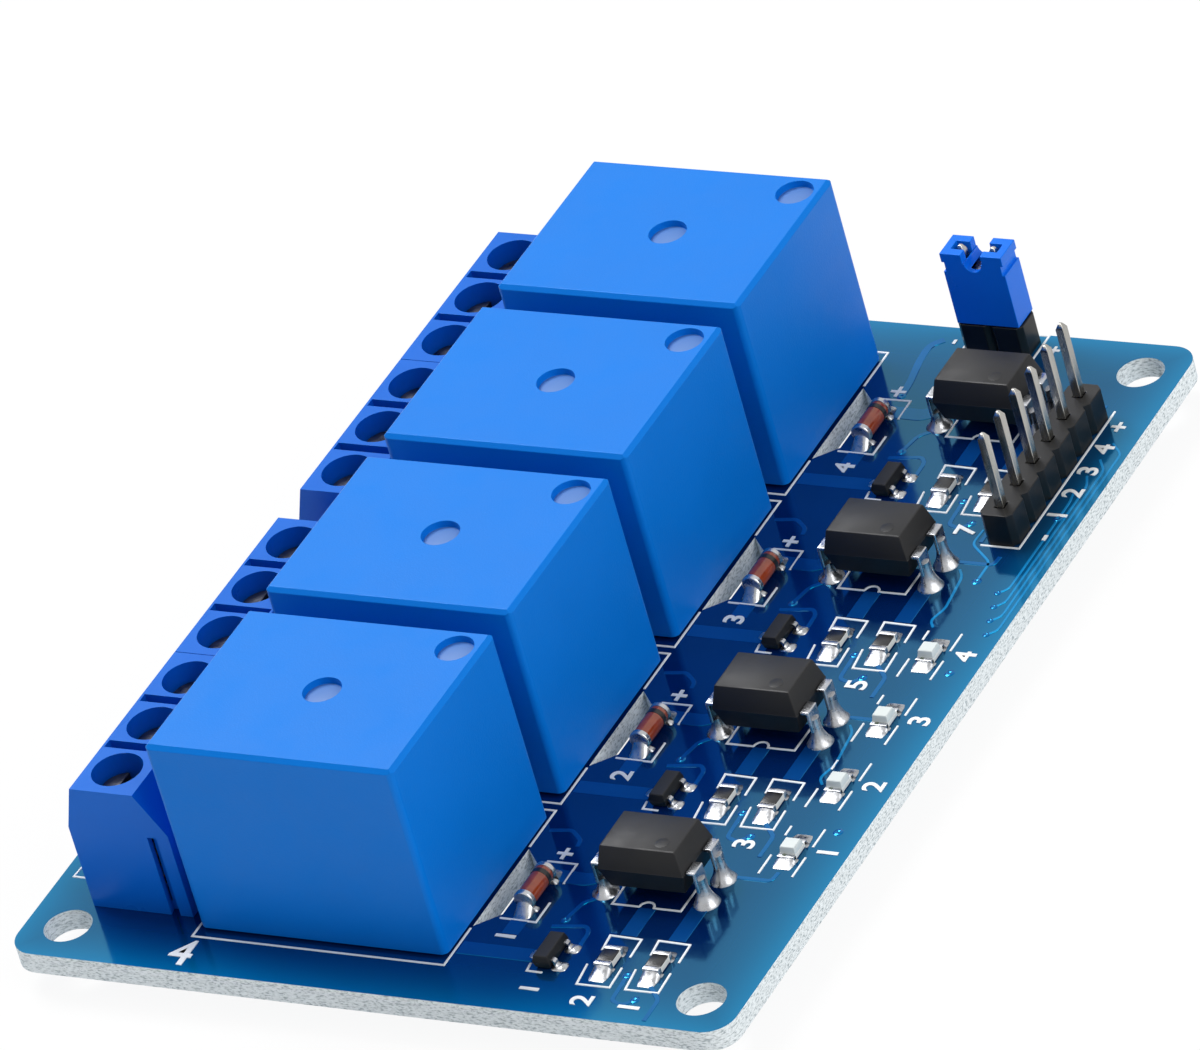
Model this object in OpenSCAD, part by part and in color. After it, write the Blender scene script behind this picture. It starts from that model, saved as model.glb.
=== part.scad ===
// Four-channel relay module board: screw terminal blocks along one long side, a row of
// sealed relays beside them, and the small parts that drive each relay on the other side.
// +X runs from the screw terminals to the input header, +Y along the row of relays, +Z up.
// The origin is the centre of the four mounting holes, on the board's underside.

/* [Board] */
// Width of the board, from the terminal side to the header side
board_w = 55; // [54.5:0.5:60]
// Length of the board, along the row of relays
board_l = 76; // [75.5:0.5:84]
// Thickness of the board
board_t = 1.6; // [1:0.1:2]
// Radius of the board's corners
board_corner_r = 2; // [0.5:0.5:3]
// Diameter of the mounting holes
mount_hole_d = 3.4; // [2.6:0.1:3.6]
// Mounting hole centres, in from the board's edges
mount_hole_inset = 3.25; // [2.8:0.05:3.4]
// Length of the leads and pins left standing under the board
tail_h = 1.8; // [1.2:0.1:2.5]

/* [Channels] */
// Distance from one channel to the next along the board
channel_pitch = 17.4; // [16.5:0.1:17.8]
// Shift of the row of channels from the middle of the board
channel_shift = 0.1; // [-0.5:0.1:0.5]
// Width of the slot milled beside each relay
slot_w = 1.5; // [1:0.1:2]
// Length of the slot on its relay side
slot_l = 8.3; // [6:0.1:10]
// Gap between a relay and its slot
slot_gap = 0.15; // [0.1:0.05:0.3]

/* [Relay] */
// Length of a relay, across the board
relay_l = 19; // [18.8:0.1:20]
// Width of a relay, along the row
relay_w = 15.2; // [14.8:0.1:16]
// Height of a relay above the board
relay_h = 15.4; // [15:0.1:17]
// Thickness of the relay cover's walls
relay_wall = 1; // [0.7:0.05:1.05]
// Gap between the terminal blocks and the relays
relay_gap = 1.2; // [0.8:0.05:1.6]
// Radius of the cover's upright corners
relay_corner_r = 0.5; // [0.2:0.1:0.8]
// Bevel around the cover's top
relay_bevel = 0.3; // [0.1:0.05:0.5]
// Diameter of the two round marks in the cover's top
relay_mark_d = 2.7; // [2:0.1:3]
// Depth of those marks
relay_mark_depth = 0.5; // [0.2:0.05:0.6]
// Distance of the corner mark from the cover's two nearest sides
relay_mark_inset = 2; // [1.8:0.1:3]
// Thickness of the base plate that closes the relay
relay_base_t = 1.5; // [1:0.1:1.6]
// Height of the feet under the base plate
relay_foot_h = 0.3; // [0.2:0.05:0.5]
// Distance of the outer rows of pins from the relay's ends
relay_pin_inset = 2.4; // [2.3:0.05:2.6]
// Distance from the common pin's row to the coil pins' row
relay_coil_step = 2; // [1.6:0.1:2.2]
// Distance of the coil pins and contact pins from the relay's sides
relay_pin_side = 1.6; // [1.5:0.05:1.8]
// Outer diameter of the coil winding
coil_d = 8.8; // [7:0.1:9]
// Diameter of the iron core in the coil
core_d = 3.8; // [3:0.1:4.2]
// Thickness of the iron yoke's upright leg
yoke_t = 1.2; // [0.8:0.1:1.3]
// Width of the yoke and of the armature
yoke_w = 8; // [6:0.1:9]
// Thickness of the armature plate
armature_t = 1; // [0.7:0.05:1.1]
// Angle through which the armature tips when the coil pulls it
armature_angle = 3.5; // [2:0.5:3.5]
// Diameter of the contact rivets
contact_d = 2.4; // [1.6:0.1:2.4]

/* [Terminal block] */
// Distance from one screw terminal to the next
way_pitch = 5.08; // [5:0.02:5.12]
// Depth of a terminal block, across the board
block_d = 7.8; // [7.6:0.05:8]
// Height of a terminal block
block_h = 10; // [9.8:0.1:11]
// Wire side of the terminal blocks, in from the board's edge
block_inset = 4.05; // [3.9:0.05:4.3]
// Gap between the two pairs of blocks
block_gap = 3.2; // [2:0.1:3.4]
// Height at which the wire side starts to lean in
block_lean_z = 6.7; // [6:0.1:7.5]
// How far the wire side leans in
block_lean = 1.05; // [0.6:0.05:1.3]
// Height at which the relay side's slope starts
block_slope_z = 6.8; // [6:0.1:7.5]
// Width of that slope
block_slope = 1.85; // [1.2:0.05:1.9]
// Diameter of the screwdriver holes
driver_hole_d = 3.6; // [3.4:0.05:3.7]
// Middle of the screwdriver holes, from the wire side
driver_hole_x = 3.45; // [3.3:0.05:3.5]
// Width of a wire entry
wire_w = 3.1; // [2.6:0.1:3.2]
// Height of a wire entry
wire_h = 3; // [2.6:0.1:3.2]
// Diameter of the clamp screw's head
screw_head_d = 3.2; // [3:0.05:3.3]
// Diameter of the clamp screw's shank
screw_d = 2.5; // [2:0.1:2.6]
// Height that the clamp rises from open to shut
clamp_travel = 1.4; // [0.8:0.1:1.4]
// Wall of the clamp's brass cage
clamp_wall = 0.6; // [0.4:0.05:0.65]
// Width of the rib that locks a block to the next one, at its neck
lock_w = 0.6; // [0.4:0.05:0.7]

/* [Headers] */
// Distance between header pins
pin_pitch = 2.54; // [2.4:0.01:2.6]
// Side of the square header pins
pin_w = 0.64; // [0.5:0.02:0.7]
// Height of the header's plastic strip
strip_h = 2.54; // [2.2:0.02:2.8]
// Height of the pins above the strip
pin_up = 6; // [5.5:0.1:6.5]
// Number of pins in the input header
input_pins = 6; // [4:1:6]
// Gap between the optocouplers' pads and the input header
header_gap = 0.93; // [0.6:0.01:1.2]
// Gap between the input header and the board's edge
header_inset = 3.25; // [3:0.05:4]
// First input pin, from the middle of the board
input_y = 15.8; // [15.4:0.1:16.2]
// Middle of the power header, back from the middle of the optocouplers
power_step = 3.3; // [3:0.05:3.6]
// Power header, in from the board's back edge
power_edge = 1.65; // [1.5:0.05:2]
// Height of the jumper cap
cap_h = 5.9; // [5.4:0.1:6]
// Width of the jumper cap, along its two pins
cap_w = 4.8; // [4.6:0.05:4.95]
// Depth of the jumper cap
cap_d = 2.3; // [2.2:0.05:2.45]

/* [Optocoupler] */
// Gap between a diode and the optocoupler's pads
opto_gap = 3; // [2.6:0.05:3.4]
// Middle of an optocoupler, back from the middle of its relay
opto_y = 2; // [1.8:0.1:2.2]
// Body size across its leads
opto_w = 6.5; // [6:0.1:6.8]
// Body size along its leads' row
opto_l = 4.6; // [4.4:0.1:5]
// Height of the body
opto_h = 3.4; // [3.2:0.1:3.6]
// Gap under the body
opto_lift = 1.1; // [0.8:0.1:1.4]
// Distance between its two rows of leads
opto_row = 7.62; // [7.5:0.02:7.7]
// Distance between the leads of a row
opto_pitch = 2.54; // [2.4:0.02:2.6]

/* [Small parts] */
// Length of a glass diode
diode_l = 3.5; // [3.2:0.1:3.8]
// Diameter of a glass diode's end caps
diode_d = 1.5; // [1.3:0.05:1.7]
// Length of each end cap
diode_cap_l = 0.45; // [0.3:0.05:0.6]
// Gap between a diode and the slot
diode_gap = 0.75; // [0.6:0.05:0.9]
// Length of a chip resistor
chip_l = 2; // [1.8:0.05:2.2]
// Width of a chip resistor
chip_w = 1.25; // [1.1:0.05:1.4]
// Height of a chip resistor
chip_h = 0.55; // [0.4:0.05:0.7]
// Length of a transistor's body
transistor_l = 2.9; // [2.7:0.05:3]
// Width of a transistor's body
transistor_w = 1.3; // [1.2:0.05:1.5]
// Height of a transistor's body
transistor_h = 1; // [0.9:0.05:1.1]
// Height of an indicator lamp
led_h = 0.8; // [0.6:0.05:1.1]
// Distance between the indicator lamps
led_pitch = 7.16; // [6.8:0.02:7.3]
// First indicator lamp, from the middle of the board
led_y = -19.3; // [-20:0.1:-19]
// Indicator lamps, beyond the row of input pins
led_step = 0.45; // [0.3:0.05:0.6]

/* [Clearances] */
// Clearance of a piece that sits in another
seat_gap = 0.05; // [0.03:0.01:0.08]
// Clearance of a piece that turns or slides
run_gap = 0.1; // [0.06:0.01:0.15]
// Clearance between solder and the hole or lead it fills
solder_gap = 0.02; // [0.01:0.01:0.04]

/* [Hidden] */
CHANNELS = 4;
WAYS = 3;
BLOCKS = 4;
ROUND = 32;

// ---- Places on the board ----
// The parts stand in columns. The width that they leave free is shared between the gaps,
// so that a wider or narrower board keeps every column clear of the next one.
strip_w = 2.5;
pad_ring = 0.45;
opto_hole_d = 0.85;
opto_pad_w = opto_hole_d + 2 * pad_ring;
wished_w = block_inset + relay_gap + diode_gap + opto_gap + header_gap + header_inset;
free_w = board_w - block_d - relay_l - slot_gap - slot_w - diode_d - opto_row - opto_pad_w
    - strip_w;
spread = free_w / wished_w;

hole_x = board_w / 2 - mount_hole_inset;
hole_y = board_l / 2 - mount_hole_inset;
function channel_y(k) = (k - (CHANNELS + 1) / 2) * channel_pitch + channel_shift;
block_x = -board_w / 2 + block_inset * spread;
relay_x = block_x + block_d + relay_gap * spread + relay_l / 2;
slot_x = relay_x + relay_l / 2 + slot_gap;
diode_x = slot_x + slot_w + diode_gap * spread + diode_d / 2;
opto_x = diode_x + diode_d / 2 + opto_gap * spread + (opto_pad_w + opto_row) / 2;
input_x = opto_x + (opto_row + opto_pad_w) / 2 + header_gap * spread + strip_w / 2;
led_x = input_x + led_step;
power_x = opto_x - power_step;
power_y = board_l / 2 - power_edge;
diode_y = -0.35;
transistor_back = 4.335;
transistor_x = opto_x - transistor_back;
transistor_y = -6.25;
chip_y = -6.13;
chip_shift = 0.05;
chip_step = 3.65;
chip_left_x = opto_x - chip_shift;
chip_right_x = chip_left_x + chip_step;
small_lift = 0.05;

// ---- Relay levels, above the board ----
cover_lift = 0.2;
relay_roof = relay_h - relay_wall;
base_top = relay_foot_h + relay_base_t;
inner_l = relay_l - 2 * relay_wall - 2 * seat_gap;
inner_w = relay_w - 2 * relay_wall - 2 * seat_gap;
pin_row = relay_l / 2 - relay_pin_inset;
relay_pin_spread = relay_w - 2 * relay_pin_side;
coil_row = pin_row - relay_coil_step;
roof_room = 0.8;
contact_strip_t = 0.4;
rivet_h = 0.4;
leaf_t = 0.2;
leaf_w = 4;
pole_h = 0.4;
pole_d = 5.6;
relay_foot_w = 1.6;
relay_mark_shift = 0.3;
flange_t = 0.6;
foot_t = 1;
relay_pin_w = 1;
relay_pin_t = 0.5;
bobbin_wall = 0.5;
bobbin_rim = 0.25;
coil_gap = 0.3;
contact_step = 0.8;
contact_strip_w = 2.6;
leaf_rim = 0.2;
armature_side = 0.4;
yoke_notch = 0.6;
strip_top = relay_roof - roof_room;
upper_rivet_z = strip_top - contact_strip_t - rivet_h;
leaf_z = upper_rivet_z - seat_gap - rivet_h - leaf_t;
armature_z = leaf_z - armature_t;
yoke_top = armature_z - seat_gap;
yoke_face = pin_row + relay_pin_t / 2 + seat_gap;
pivot_x = yoke_face - yoke_t;
coil_x = pivot_x - coil_gap - coil_d / 2;
contact_x = -pin_row + contact_step;
// How far the armature's contact and its plate over the pole drop when it tips
contact_drop = (pivot_x - contact_x + contact_d / 2) * sin(armature_angle);
pole_drop = (pivot_x - coil_x + pole_d / 2) * sin(armature_angle);
pole_top = armature_z - pole_drop - run_gap;
pole_low = pole_top - pole_h;
flange_top = pole_low - seat_gap;
lower_rivet_top = leaf_z - rivet_h - contact_drop - run_gap;
relay_hole_d = 1.4;

// ---- Terminal block levels, above the board ----
block_l = WAYS * way_pitch;
block_shift = -0.4;
function block_y(b) = block_shift
    + (b <= BLOCKS / 2 ? -block_gap / 2 : block_gap / 2) + (b - BLOCKS / 2 - 1) * block_l;
function way_y(w) = block_y(ceil(w / WAYS)) + ((w - 1) % WAYS + 0.5) * way_pitch;
floor_t = 0.7;
wire_wall = 1;
clamp_depth = 2.8;
clamp_w = 3.6;
clamp_z = floor_t + 2 * run_gap;
clamp_roof_t = clamp_wall + seat_gap;
bar_t = 0.5;
bar_drop = 0.15;
bar_back = 0.3;
bar_z = clamp_z + clamp_wall + wire_h - bar_drop;
clamp_roof_z = bar_z + bar_t + run_gap;
clamp_top = clamp_roof_z + clamp_roof_t;
cavity_top = clamp_top + clamp_travel + run_gap;
shelf_t = 0.4;
screw_seat = cavity_top + shelf_t;
screw_head_h = 1;
clamp_x = driver_hole_x - clamp_depth / 2;
cavity_w = clamp_w + 2 * run_gap;
leg_t = 0.8;
leg_w = 1;
leg_gap = 0.3;
leg_x = clamp_x + clamp_depth + leg_gap;
cavity_end = leg_x + leg_t + run_gap;
wire_frame = 0.4;
screw_slot_w = 0.6;
screw_slot_h = 0.5;
leg_hole_d = 1.5;
top_slot_w = 0.75;
top_slot_depth = 2;
top_slot_end = 0.2;
lock_depth = 0.6;
lock_flare = 0.15;
lock_inset = 1.35;
lock_x = block_d - lock_inset;
lock_h = 6.5;

// ---- Header and jumper levels ----
header_hole_d = 1;
strip_chamfer = 0.4;
pin_tip = 0.2;
pin_tail = 1.4;
cap_wall = 0.4;
cap_notch_w = 1.5;
cap_head_h = 1.5;
cap_waist = 0.2;
cap_notch_deep = 0.2;
cap_window_d = 1.3;
clip_t = 0.2;
clip_drop = 1.6;
clip_bridge_w = 1;

// ---- Solder ----
solder_h = 0.9;
solder_tip_ring = 0.15;
solder_crown_ring = 0.05;

// ---- Leads and bodies of the small parts ----
opto_lead_t = 0.25;
opto_lead_w = 0.5;
opto_shoulder_w = 1.3;
opto_solder_h = 1.1;
opto_draft = 0.2;
opto_dot_d = 1.1;
opto_dot_depth = 0.1;
opto_dot_x = 1.15;
opto_dot_y = 0.95;
transistor_lead_w = 0.4;
transistor_lead_t = 0.15;
transistor_lead_out = 0.55;
transistor_draft = 0.12;
transistor_lead_y = 0.95;
transistor_bend = 0.2;
diode_glass_step = 0.06;
chip_end_l = 0.4;
chip_skin = 0.03;
led_base_h = 0.35;
led_dome = 0.7;
led_draft = 0.1;

// Overlap that joins two shapes of one piece, and reach of a cut past a face
weld = 0.01;
past = 1;

// ---- Shared shapes ----
module rounded_rect(w, l, r) {
    square([w - 2 * r, l], center = true);
    square([w, l - 2 * r], center = true);
    for (x = [-1, 1], y = [-1, 1])
        translate([x * (w / 2 - r), y * (l / 2 - r)]) circle(r, $fn = ROUND);
}

module box_at(x, y, z) {
    translate([x[0], y[0], z[0]]) cube([x[1] - x[0], y[1] - y[0], z[1] - z[0]]);
}

// A bar whose section is drawn in X and Z and runs along Y, centred
module along_y(l) {
    rotate([90, 0, 0]) translate([0, 0, -l / 2]) linear_extrude(l) children();
}

// A bar whose section is drawn in Y and Z and runs along X, centred
module along_x(l) {
    rotate([90, 0, 90]) translate([0, 0, -l / 2]) linear_extrude(l) children();
}

module at_channels() {
    for (k = [1:CHANNELS]) translate([0, channel_y(k), board_t]) children();
}

module at_relays() {
    translate([relay_x, 0, 0]) at_channels() children();
}

// ---- Circuit board ----
module slot_outline() {
    polygon([[0, -slot_l / 2], [slot_w, -slot_l / 2 + slot_w],
             [slot_w, slot_l / 2 - slot_w], [0, slot_l / 2]]);
}

// Lead places of each kind of part, from that part's own middle
function relay_lead_places() = concat(
    [[pin_row, 0]],
    [for (x = [coil_row, -pin_row], y = [-1, 1]) [x, y * relay_pin_spread / 2]]
);
function opto_lead_places() =
    [for (x = [-1, 1], y = [-1, 1]) [x * opto_row / 2, y * opto_pitch / 2]];
function input_pin_places() = [for (i = [0:input_pins - 1]) [0, i * pin_pitch]];
function power_pin_places() = [for (x = [-1, 1]) [x * pin_pitch / 2, 0]];

module drill(places, d) {
    for (p = places) translate(p) circle(d = d, $fn = ROUND);
}

module circuit_board() {
    color("mediumblue")
    linear_extrude(board_t) difference() {
        rounded_rect(board_w, board_l, board_corner_r);
        for (x = [-1, 1], y = [-1, 1])
            translate([x * hole_x, y * hole_y]) circle(d = mount_hole_d, $fn = ROUND);
        for (k = [1:CHANNELS]) translate([0, channel_y(k)]) {
            translate([slot_x, 0]) slot_outline();
            translate([relay_x, 0]) drill(relay_lead_places(), relay_hole_d);
            translate([opto_x, opto_y]) drill(opto_lead_places(), opto_hole_d);
        }
        for (w = [1:BLOCKS * WAYS])
            translate([block_x + leg_x + leg_t / 2, way_y(w)]) circle(d = leg_hole_d, $fn = ROUND);
        translate([input_x, input_y]) drill(input_pin_places(), header_hole_d);
        translate([power_x, power_y]) drill(power_pin_places(), header_hole_d);
    }
}

// ---- Solder: a fill in the hole and a cone under the board, around one lead ----
module solder(hole_d, lead_x, lead_y, over = 0) {
    r = hole_d / 2 + pad_ring;
    difference() {
        union() {
            translate([0, 0, -solder_h])
                cylinder(solder_h, hole_d / 2 + solder_tip_ring, r, $fn = ROUND);
            cylinder(board_t, d = hole_d - 2 * solder_gap, $fn = ROUND);
            if (over > 0) translate([0, 0, board_t])
                cylinder(over, r, hole_d / 2 + solder_crown_ring, $fn = ROUND);
        }
        translate([0, 0, board_t / 2])
            cube([lead_x + 2 * solder_gap, lead_y + 2 * solder_gap, 4 * board_t + 4 * solder_h],
                 center = true);
    }
}

module solder_joints() {
    color("silver") {
        for (k = [1:CHANNELS]) translate([0, channel_y(k), 0]) {
            translate([relay_x, 0, 0]) for (p = relay_lead_places())
                translate([p[0], p[1], 0])
                    if (p[0] == coil_row || p[0] == pin_row)
                        solder(relay_hole_d, relay_pin_t, relay_pin_w);
                    else
                        solder(relay_hole_d, relay_pin_w, contact_strip_t);
            translate([opto_x, opto_y, 0]) for (p = opto_lead_places())
                translate([p[0], p[1], 0])
                    solder(opto_hole_d, opto_lead_t, opto_lead_w, opto_solder_h);
        }
        for (w = [1:BLOCKS * WAYS]) translate([block_x + leg_x + leg_t / 2, way_y(w), 0])
            solder(leg_hole_d, leg_t, leg_w);
        translate([input_x, input_y, 0]) for (p = input_pin_places())
            translate([p[0], p[1], 0]) solder(header_hole_d, pin_w, pin_w);
        translate([power_x, power_y, 0]) for (p = power_pin_places())
            translate([p[0], p[1], 0]) solder(header_hole_d, pin_w, pin_w);
    }
}

// ---- Relay: cover, base and the mechanism inside ----
// The side view of the cover with its bevelled top corners
module bevelled_side(w) {
    polygon([[-w / 2, cover_lift], [w / 2, cover_lift], [w / 2, relay_h - relay_bevel],
             [w / 2 - relay_bevel, relay_h], [-w / 2 + relay_bevel, relay_h],
             [-w / 2, relay_h - relay_bevel]]);
}

module relay_cover() {
    color("dodgerblue")
    difference() {
        intersection() {
            linear_extrude(relay_h) rounded_rect(relay_l, relay_w, relay_corner_r);
            along_y(relay_w) bevelled_side(relay_l);
            along_x(relay_l) bevelled_side(relay_w);
        }
        translate([0, 0, -relay_wall]) linear_extrude(relay_roof + relay_wall)
            square([relay_l - 2 * relay_wall, relay_w - 2 * relay_wall], center = true);
        for (p = [[relay_mark_shift, 0], [relay_l / 2 - relay_mark_inset, relay_w / 2 - relay_mark_inset]])
            translate([p[0], p[1], relay_h - relay_mark_depth])
                cylinder(relay_wall, d = relay_mark_d, $fn = ROUND);
    }
}

module relay_base() {
    color("royalblue")
    difference() {
        union() {
            translate([0, 0, relay_foot_h]) linear_extrude(relay_base_t)
                square([inner_l, inner_w], center = true);
            for (x = [-1, 1], y = [-1, 1])
                translate([x * (inner_l - relay_foot_w) / 2, y * (inner_w - relay_foot_w) / 2, 0])
                    linear_extrude(relay_foot_h + weld) square(relay_foot_w, center = true);
        }
        for (p = relay_lead_places()) translate([p[0], p[1], 0])
            if (p[0] == -pin_row)
                cube([relay_pin_w + 2 * seat_gap, contact_strip_t + 2 * seat_gap, 3 * base_top],
                     center = true);
            else
                cube([relay_pin_t + 2 * seat_gap, relay_pin_w + 2 * seat_gap, 3 * base_top],
                     center = true);
    }
}

module relay_coil() {
    color("peru")
    translate([coil_x, 0, base_top + foot_t + flange_t]) difference() {
        cylinder(flange_top - 2 * flange_t - base_top - foot_t, d = coil_d, $fn = ROUND);
        translate([0, 0, -past])
            cylinder(relay_h, d = core_d + 2 * bobbin_wall + 4 * seat_gap, $fn = ROUND);
    }
}

module relay_bobbin() {
    low = base_top + foot_t;
    bobbin_side = relay_pin_spread / 2 + bobbin_rim;
    color("white")
    difference() {
        union() {
            box_at([coil_x - coil_d / 2, coil_row + relay_pin_t / 2 + seat_gap + 2 * bobbin_rim],
                   [-bobbin_side, bobbin_side], [low, low + flange_t]);
            translate([coil_x, 0, low])
                cylinder(flange_top - low, d = core_d + 2 * bobbin_wall + 2 * seat_gap,
                         $fn = ROUND);
            translate([coil_x, 0, flange_top - flange_t])
                cylinder(flange_t, d = coil_d, $fn = ROUND);
        }
        translate([coil_x, 0, 0]) cylinder(relay_h, d = core_d + 2 * seat_gap, $fn = ROUND);
        box_at([pivot_x - run_gap, relay_l], [-yoke_w / 2 - run_gap, yoke_w / 2 + run_gap],
               [low - past, relay_h]);
        for (y = [-1, 1]) translate([coil_row, y * relay_pin_spread / 2, low])
            cube([relay_pin_t + 2 * seat_gap, relay_pin_w + 2 * seat_gap, 3 * flange_t],
                 center = true);
    }
}

// The L-shaped yoke with the core riveted into its foot
module relay_yoke() {
    color("darkgray") {
        difference() {
            union() {
                box_at([pivot_x, yoke_face], [-yoke_w / 2, yoke_w / 2], [base_top, yoke_top]);
                box_at([coil_x - core_d, yoke_face], [-yoke_w / 2, yoke_w / 2],
                       [base_top, base_top + foot_t]);
            }
            for (y = [-1, 1]) translate([coil_row, y * relay_pin_spread / 2, 0])
                box_at([-yoke_notch, yoke_notch], [-relay_pin_w, relay_pin_w], [0, relay_h]);
        }
        translate([coil_x, 0, base_top + foot_t / 2])
            cylinder(pole_top - base_top - foot_t / 2, d = core_d, $fn = ROUND);
        translate([coil_x, 0, pole_low]) cylinder(pole_h, d = pole_d, $fn = ROUND);
    }
}

// Armature plate with its contact leaf and the moving contact
module relay_armature() {
    color("gold") {
        box_at([coil_x - coil_d / 2, yoke_face - run_gap],
               [armature_side - yoke_w / 2, yoke_w / 2 - armature_side], [armature_z, leaf_z]);
        box_at([contact_x - contact_d / 2 - leaf_rim, yoke_face - run_gap],
               [-leaf_w / 2, leaf_w / 2], [leaf_z, leaf_z + leaf_t]);
        translate([contact_x, 0, leaf_z - rivet_h])
            cylinder(leaf_t + 2 * rivet_h, d = contact_d, $fn = ROUND);
    }
}

// One fixed contact: a pin that rises beside the coil and turns in over the rivet's place
module fixed_contact(side, strip_z, rivet_z) {
    y = side * relay_pin_spread / 2;
    t = contact_strip_t;
    translate([0, y, 0])
        box_at([-pin_row - relay_pin_w / 2, -pin_row + relay_pin_w / 2], [-t / 2, t / 2],
               [-board_t - tail_h, strip_z + t]);
    inner = contact_strip_w / 2;
    outer = relay_pin_spread / 2 + t / 2;
    box_at([-pin_row - relay_pin_w / 2, contact_x + inner],
           side > 0 ? [-inner, outer] : [-outer, inner], [strip_z, strip_z + t]);
    translate([contact_x, 0, rivet_z]) cylinder(rivet_h, d = contact_d, $fn = ROUND);
}

module relay_terminal_set() {
    color("tan") {
        fixed_contact(1, strip_top - contact_strip_t, upper_rivet_z);
        fixed_contact(-1, lower_rivet_top - rivet_h - contact_strip_t, lower_rivet_top - rivet_h);
        box_at([pin_row - relay_pin_t / 2, pin_row + relay_pin_t / 2],
               [-relay_pin_w / 2, relay_pin_w / 2], [-board_t - tail_h, base_top]);
        for (y = [-1, 1]) translate([0, y * relay_pin_spread / 2, 0])
            box_at([coil_row - relay_pin_t / 2, coil_row + relay_pin_t / 2],
                   [-relay_pin_w / 2, relay_pin_w / 2],
                   [-board_t - tail_h, base_top + foot_t + flange_t + relay_pin_w]);
    }
}

module relay_coils() { at_relays() relay_coil(); }
module relay_bobbins() { at_relays() relay_bobbin(); }
module relay_yokes() { at_relays() relay_yoke(); }
module relay_terminals() { at_relays() relay_terminal_set(); }

module at_relay(k) { translate([relay_x, channel_y(k), board_t]) children(); }

// ---- Terminal block: three ways in a housing that locks to the next one ----
module block_side() {
    polygon([[0, 0], [block_d, 0], [block_d, block_slope_z], [block_d - block_slope, block_h],
             [block_lean, block_h], [0, block_lean_z]]);
}

// Plan of the lock: a neck at the wall that flares outwards, grown by a gap for the groove
module lock_outline(gap) {
    polygon([[-lock_w / 2 - gap, -weld], [lock_w / 2 + gap, -weld],
             [lock_w / 2 + lock_flare + gap, lock_depth + gap],
             [-lock_w / 2 - lock_flare - gap, lock_depth + gap]]);
}

// One way's hollow: wire entry with its frame, clamp space, screw hole and leg hole
module way_hollow() {
    wire_z = clamp_z + clamp_wall;
    frame_w = wire_w / 2 + wire_frame;
    box_at([-past, wire_wall + weld], [-wire_w / 2, wire_w / 2], [wire_z, wire_z + wire_h]);
    box_at([-past, wire_frame], [-frame_w, frame_w],
           [wire_z - wire_frame, wire_z + wire_h + wire_frame]);
    box_at([wire_wall, cavity_end], [-cavity_w / 2, cavity_w / 2], [floor_t, cavity_top]);
    translate([driver_hole_x, 0, cavity_top - weld])
        cylinder(block_h, d = screw_d + 2 * run_gap, $fn = ROUND);
    translate([driver_hole_x, 0, screw_seat])
        cylinder(block_h, d = driver_hole_d, $fn = ROUND);
    box_at([leg_x - seat_gap, leg_x + leg_t + seat_gap],
           [-leg_w / 2 - seat_gap, leg_w / 2 + seat_gap], [-past, floor_t + weld]);
}

module terminal_housing() {
    color("royalblue")
    difference() {
        union() {
            translate([0, block_l / 2, 0]) along_y(block_l - seat_gap) block_side();
            translate([lock_x, block_l - seat_gap / 2, 0]) linear_extrude(lock_h - seat_gap)
                lock_outline(0);
        }
        translate([lock_x, seat_gap / 2, -past]) linear_extrude(lock_h + past)
            lock_outline(seat_gap);
        for (i = [0:WAYS - 1]) translate([0, (i + 0.5) * way_pitch, 0]) way_hollow();
        for (i = [1:WAYS - 1]) translate([0, i * way_pitch, 0])
            box_at([block_lean + top_slot_end, block_d - block_slope - top_slot_end],
                   [-top_slot_w / 2, top_slot_w / 2],
                   [block_h - top_slot_depth, block_h + past]);
    }
}

// Clamp screw with a slotted head
module clamp_screw() {
    color("silver")
    difference() {
        union() {
            translate([0, 0, screw_seat + seat_gap])
                cylinder(screw_head_h, d = screw_head_d, $fn = ROUND);
            translate([0, 0, clamp_roof_z + run_gap])
                cylinder(screw_seat + 2 * seat_gap - clamp_roof_z - run_gap, d = screw_d,
                         $fn = ROUND);
        }
        translate([0, 0, screw_seat + seat_gap + screw_head_h])
            cube([screw_slot_w, screw_head_d + past, 2 * screw_slot_h], center = true);
    }
}

// Brass cage that rises with the screw and lifts the wire against the bar
module wire_clamp() {
    x = [-clamp_depth / 2, clamp_depth / 2];
    color("goldenrod")
    difference() {
        box_at(x, [-clamp_w / 2, clamp_w / 2], [clamp_z, clamp_top]);
        box_at([-clamp_depth, clamp_depth], [-clamp_w / 2 + clamp_wall, clamp_w / 2 - clamp_wall],
               [clamp_z + clamp_wall, clamp_roof_z]);
        cylinder(block_h, d = screw_d + 2 * seat_gap, $fn = ROUND);
    }
}

// Tinned bar that the wire is clamped to, bent down into the solder leg
module terminal_leg() {
    bar_w = clamp_w - 2 * clamp_wall - 4 * run_gap;
    color("silver") {
        box_at([wire_wall + bar_back, leg_x + leg_t], [-bar_w / 2, bar_w / 2],
               [bar_z, bar_z + bar_t]);
        box_at([leg_x, leg_x + leg_t], [-leg_w / 2, leg_w / 2], [-board_t - tail_h, bar_z]);
    }
}

module at_block(b) { translate([block_x, block_y(b), board_t]) children(); }
module at_way(w) { translate([block_x, way_y(w), board_t]) children(); }
module terminal_legs() {
    for (w = [1:BLOCKS * WAYS]) at_way(w) terminal_leg();
}

// ---- Headers ----
// One segment of the plastic strip, with its four corners cut off
module strip_segment() {
    h = pin_pitch / 2 + weld / 2;
    w = strip_w / 2;
    c = strip_chamfer;
    difference() {
        polygon([[-w, -h + c], [-w + c, -h], [w - c, -h], [w, -h + c],
                 [w, h - c], [w - c, h], [-w + c, h], [-w, h - c]]);
        square(pin_w + 2 * seat_gap, center = true);
    }
}

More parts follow.
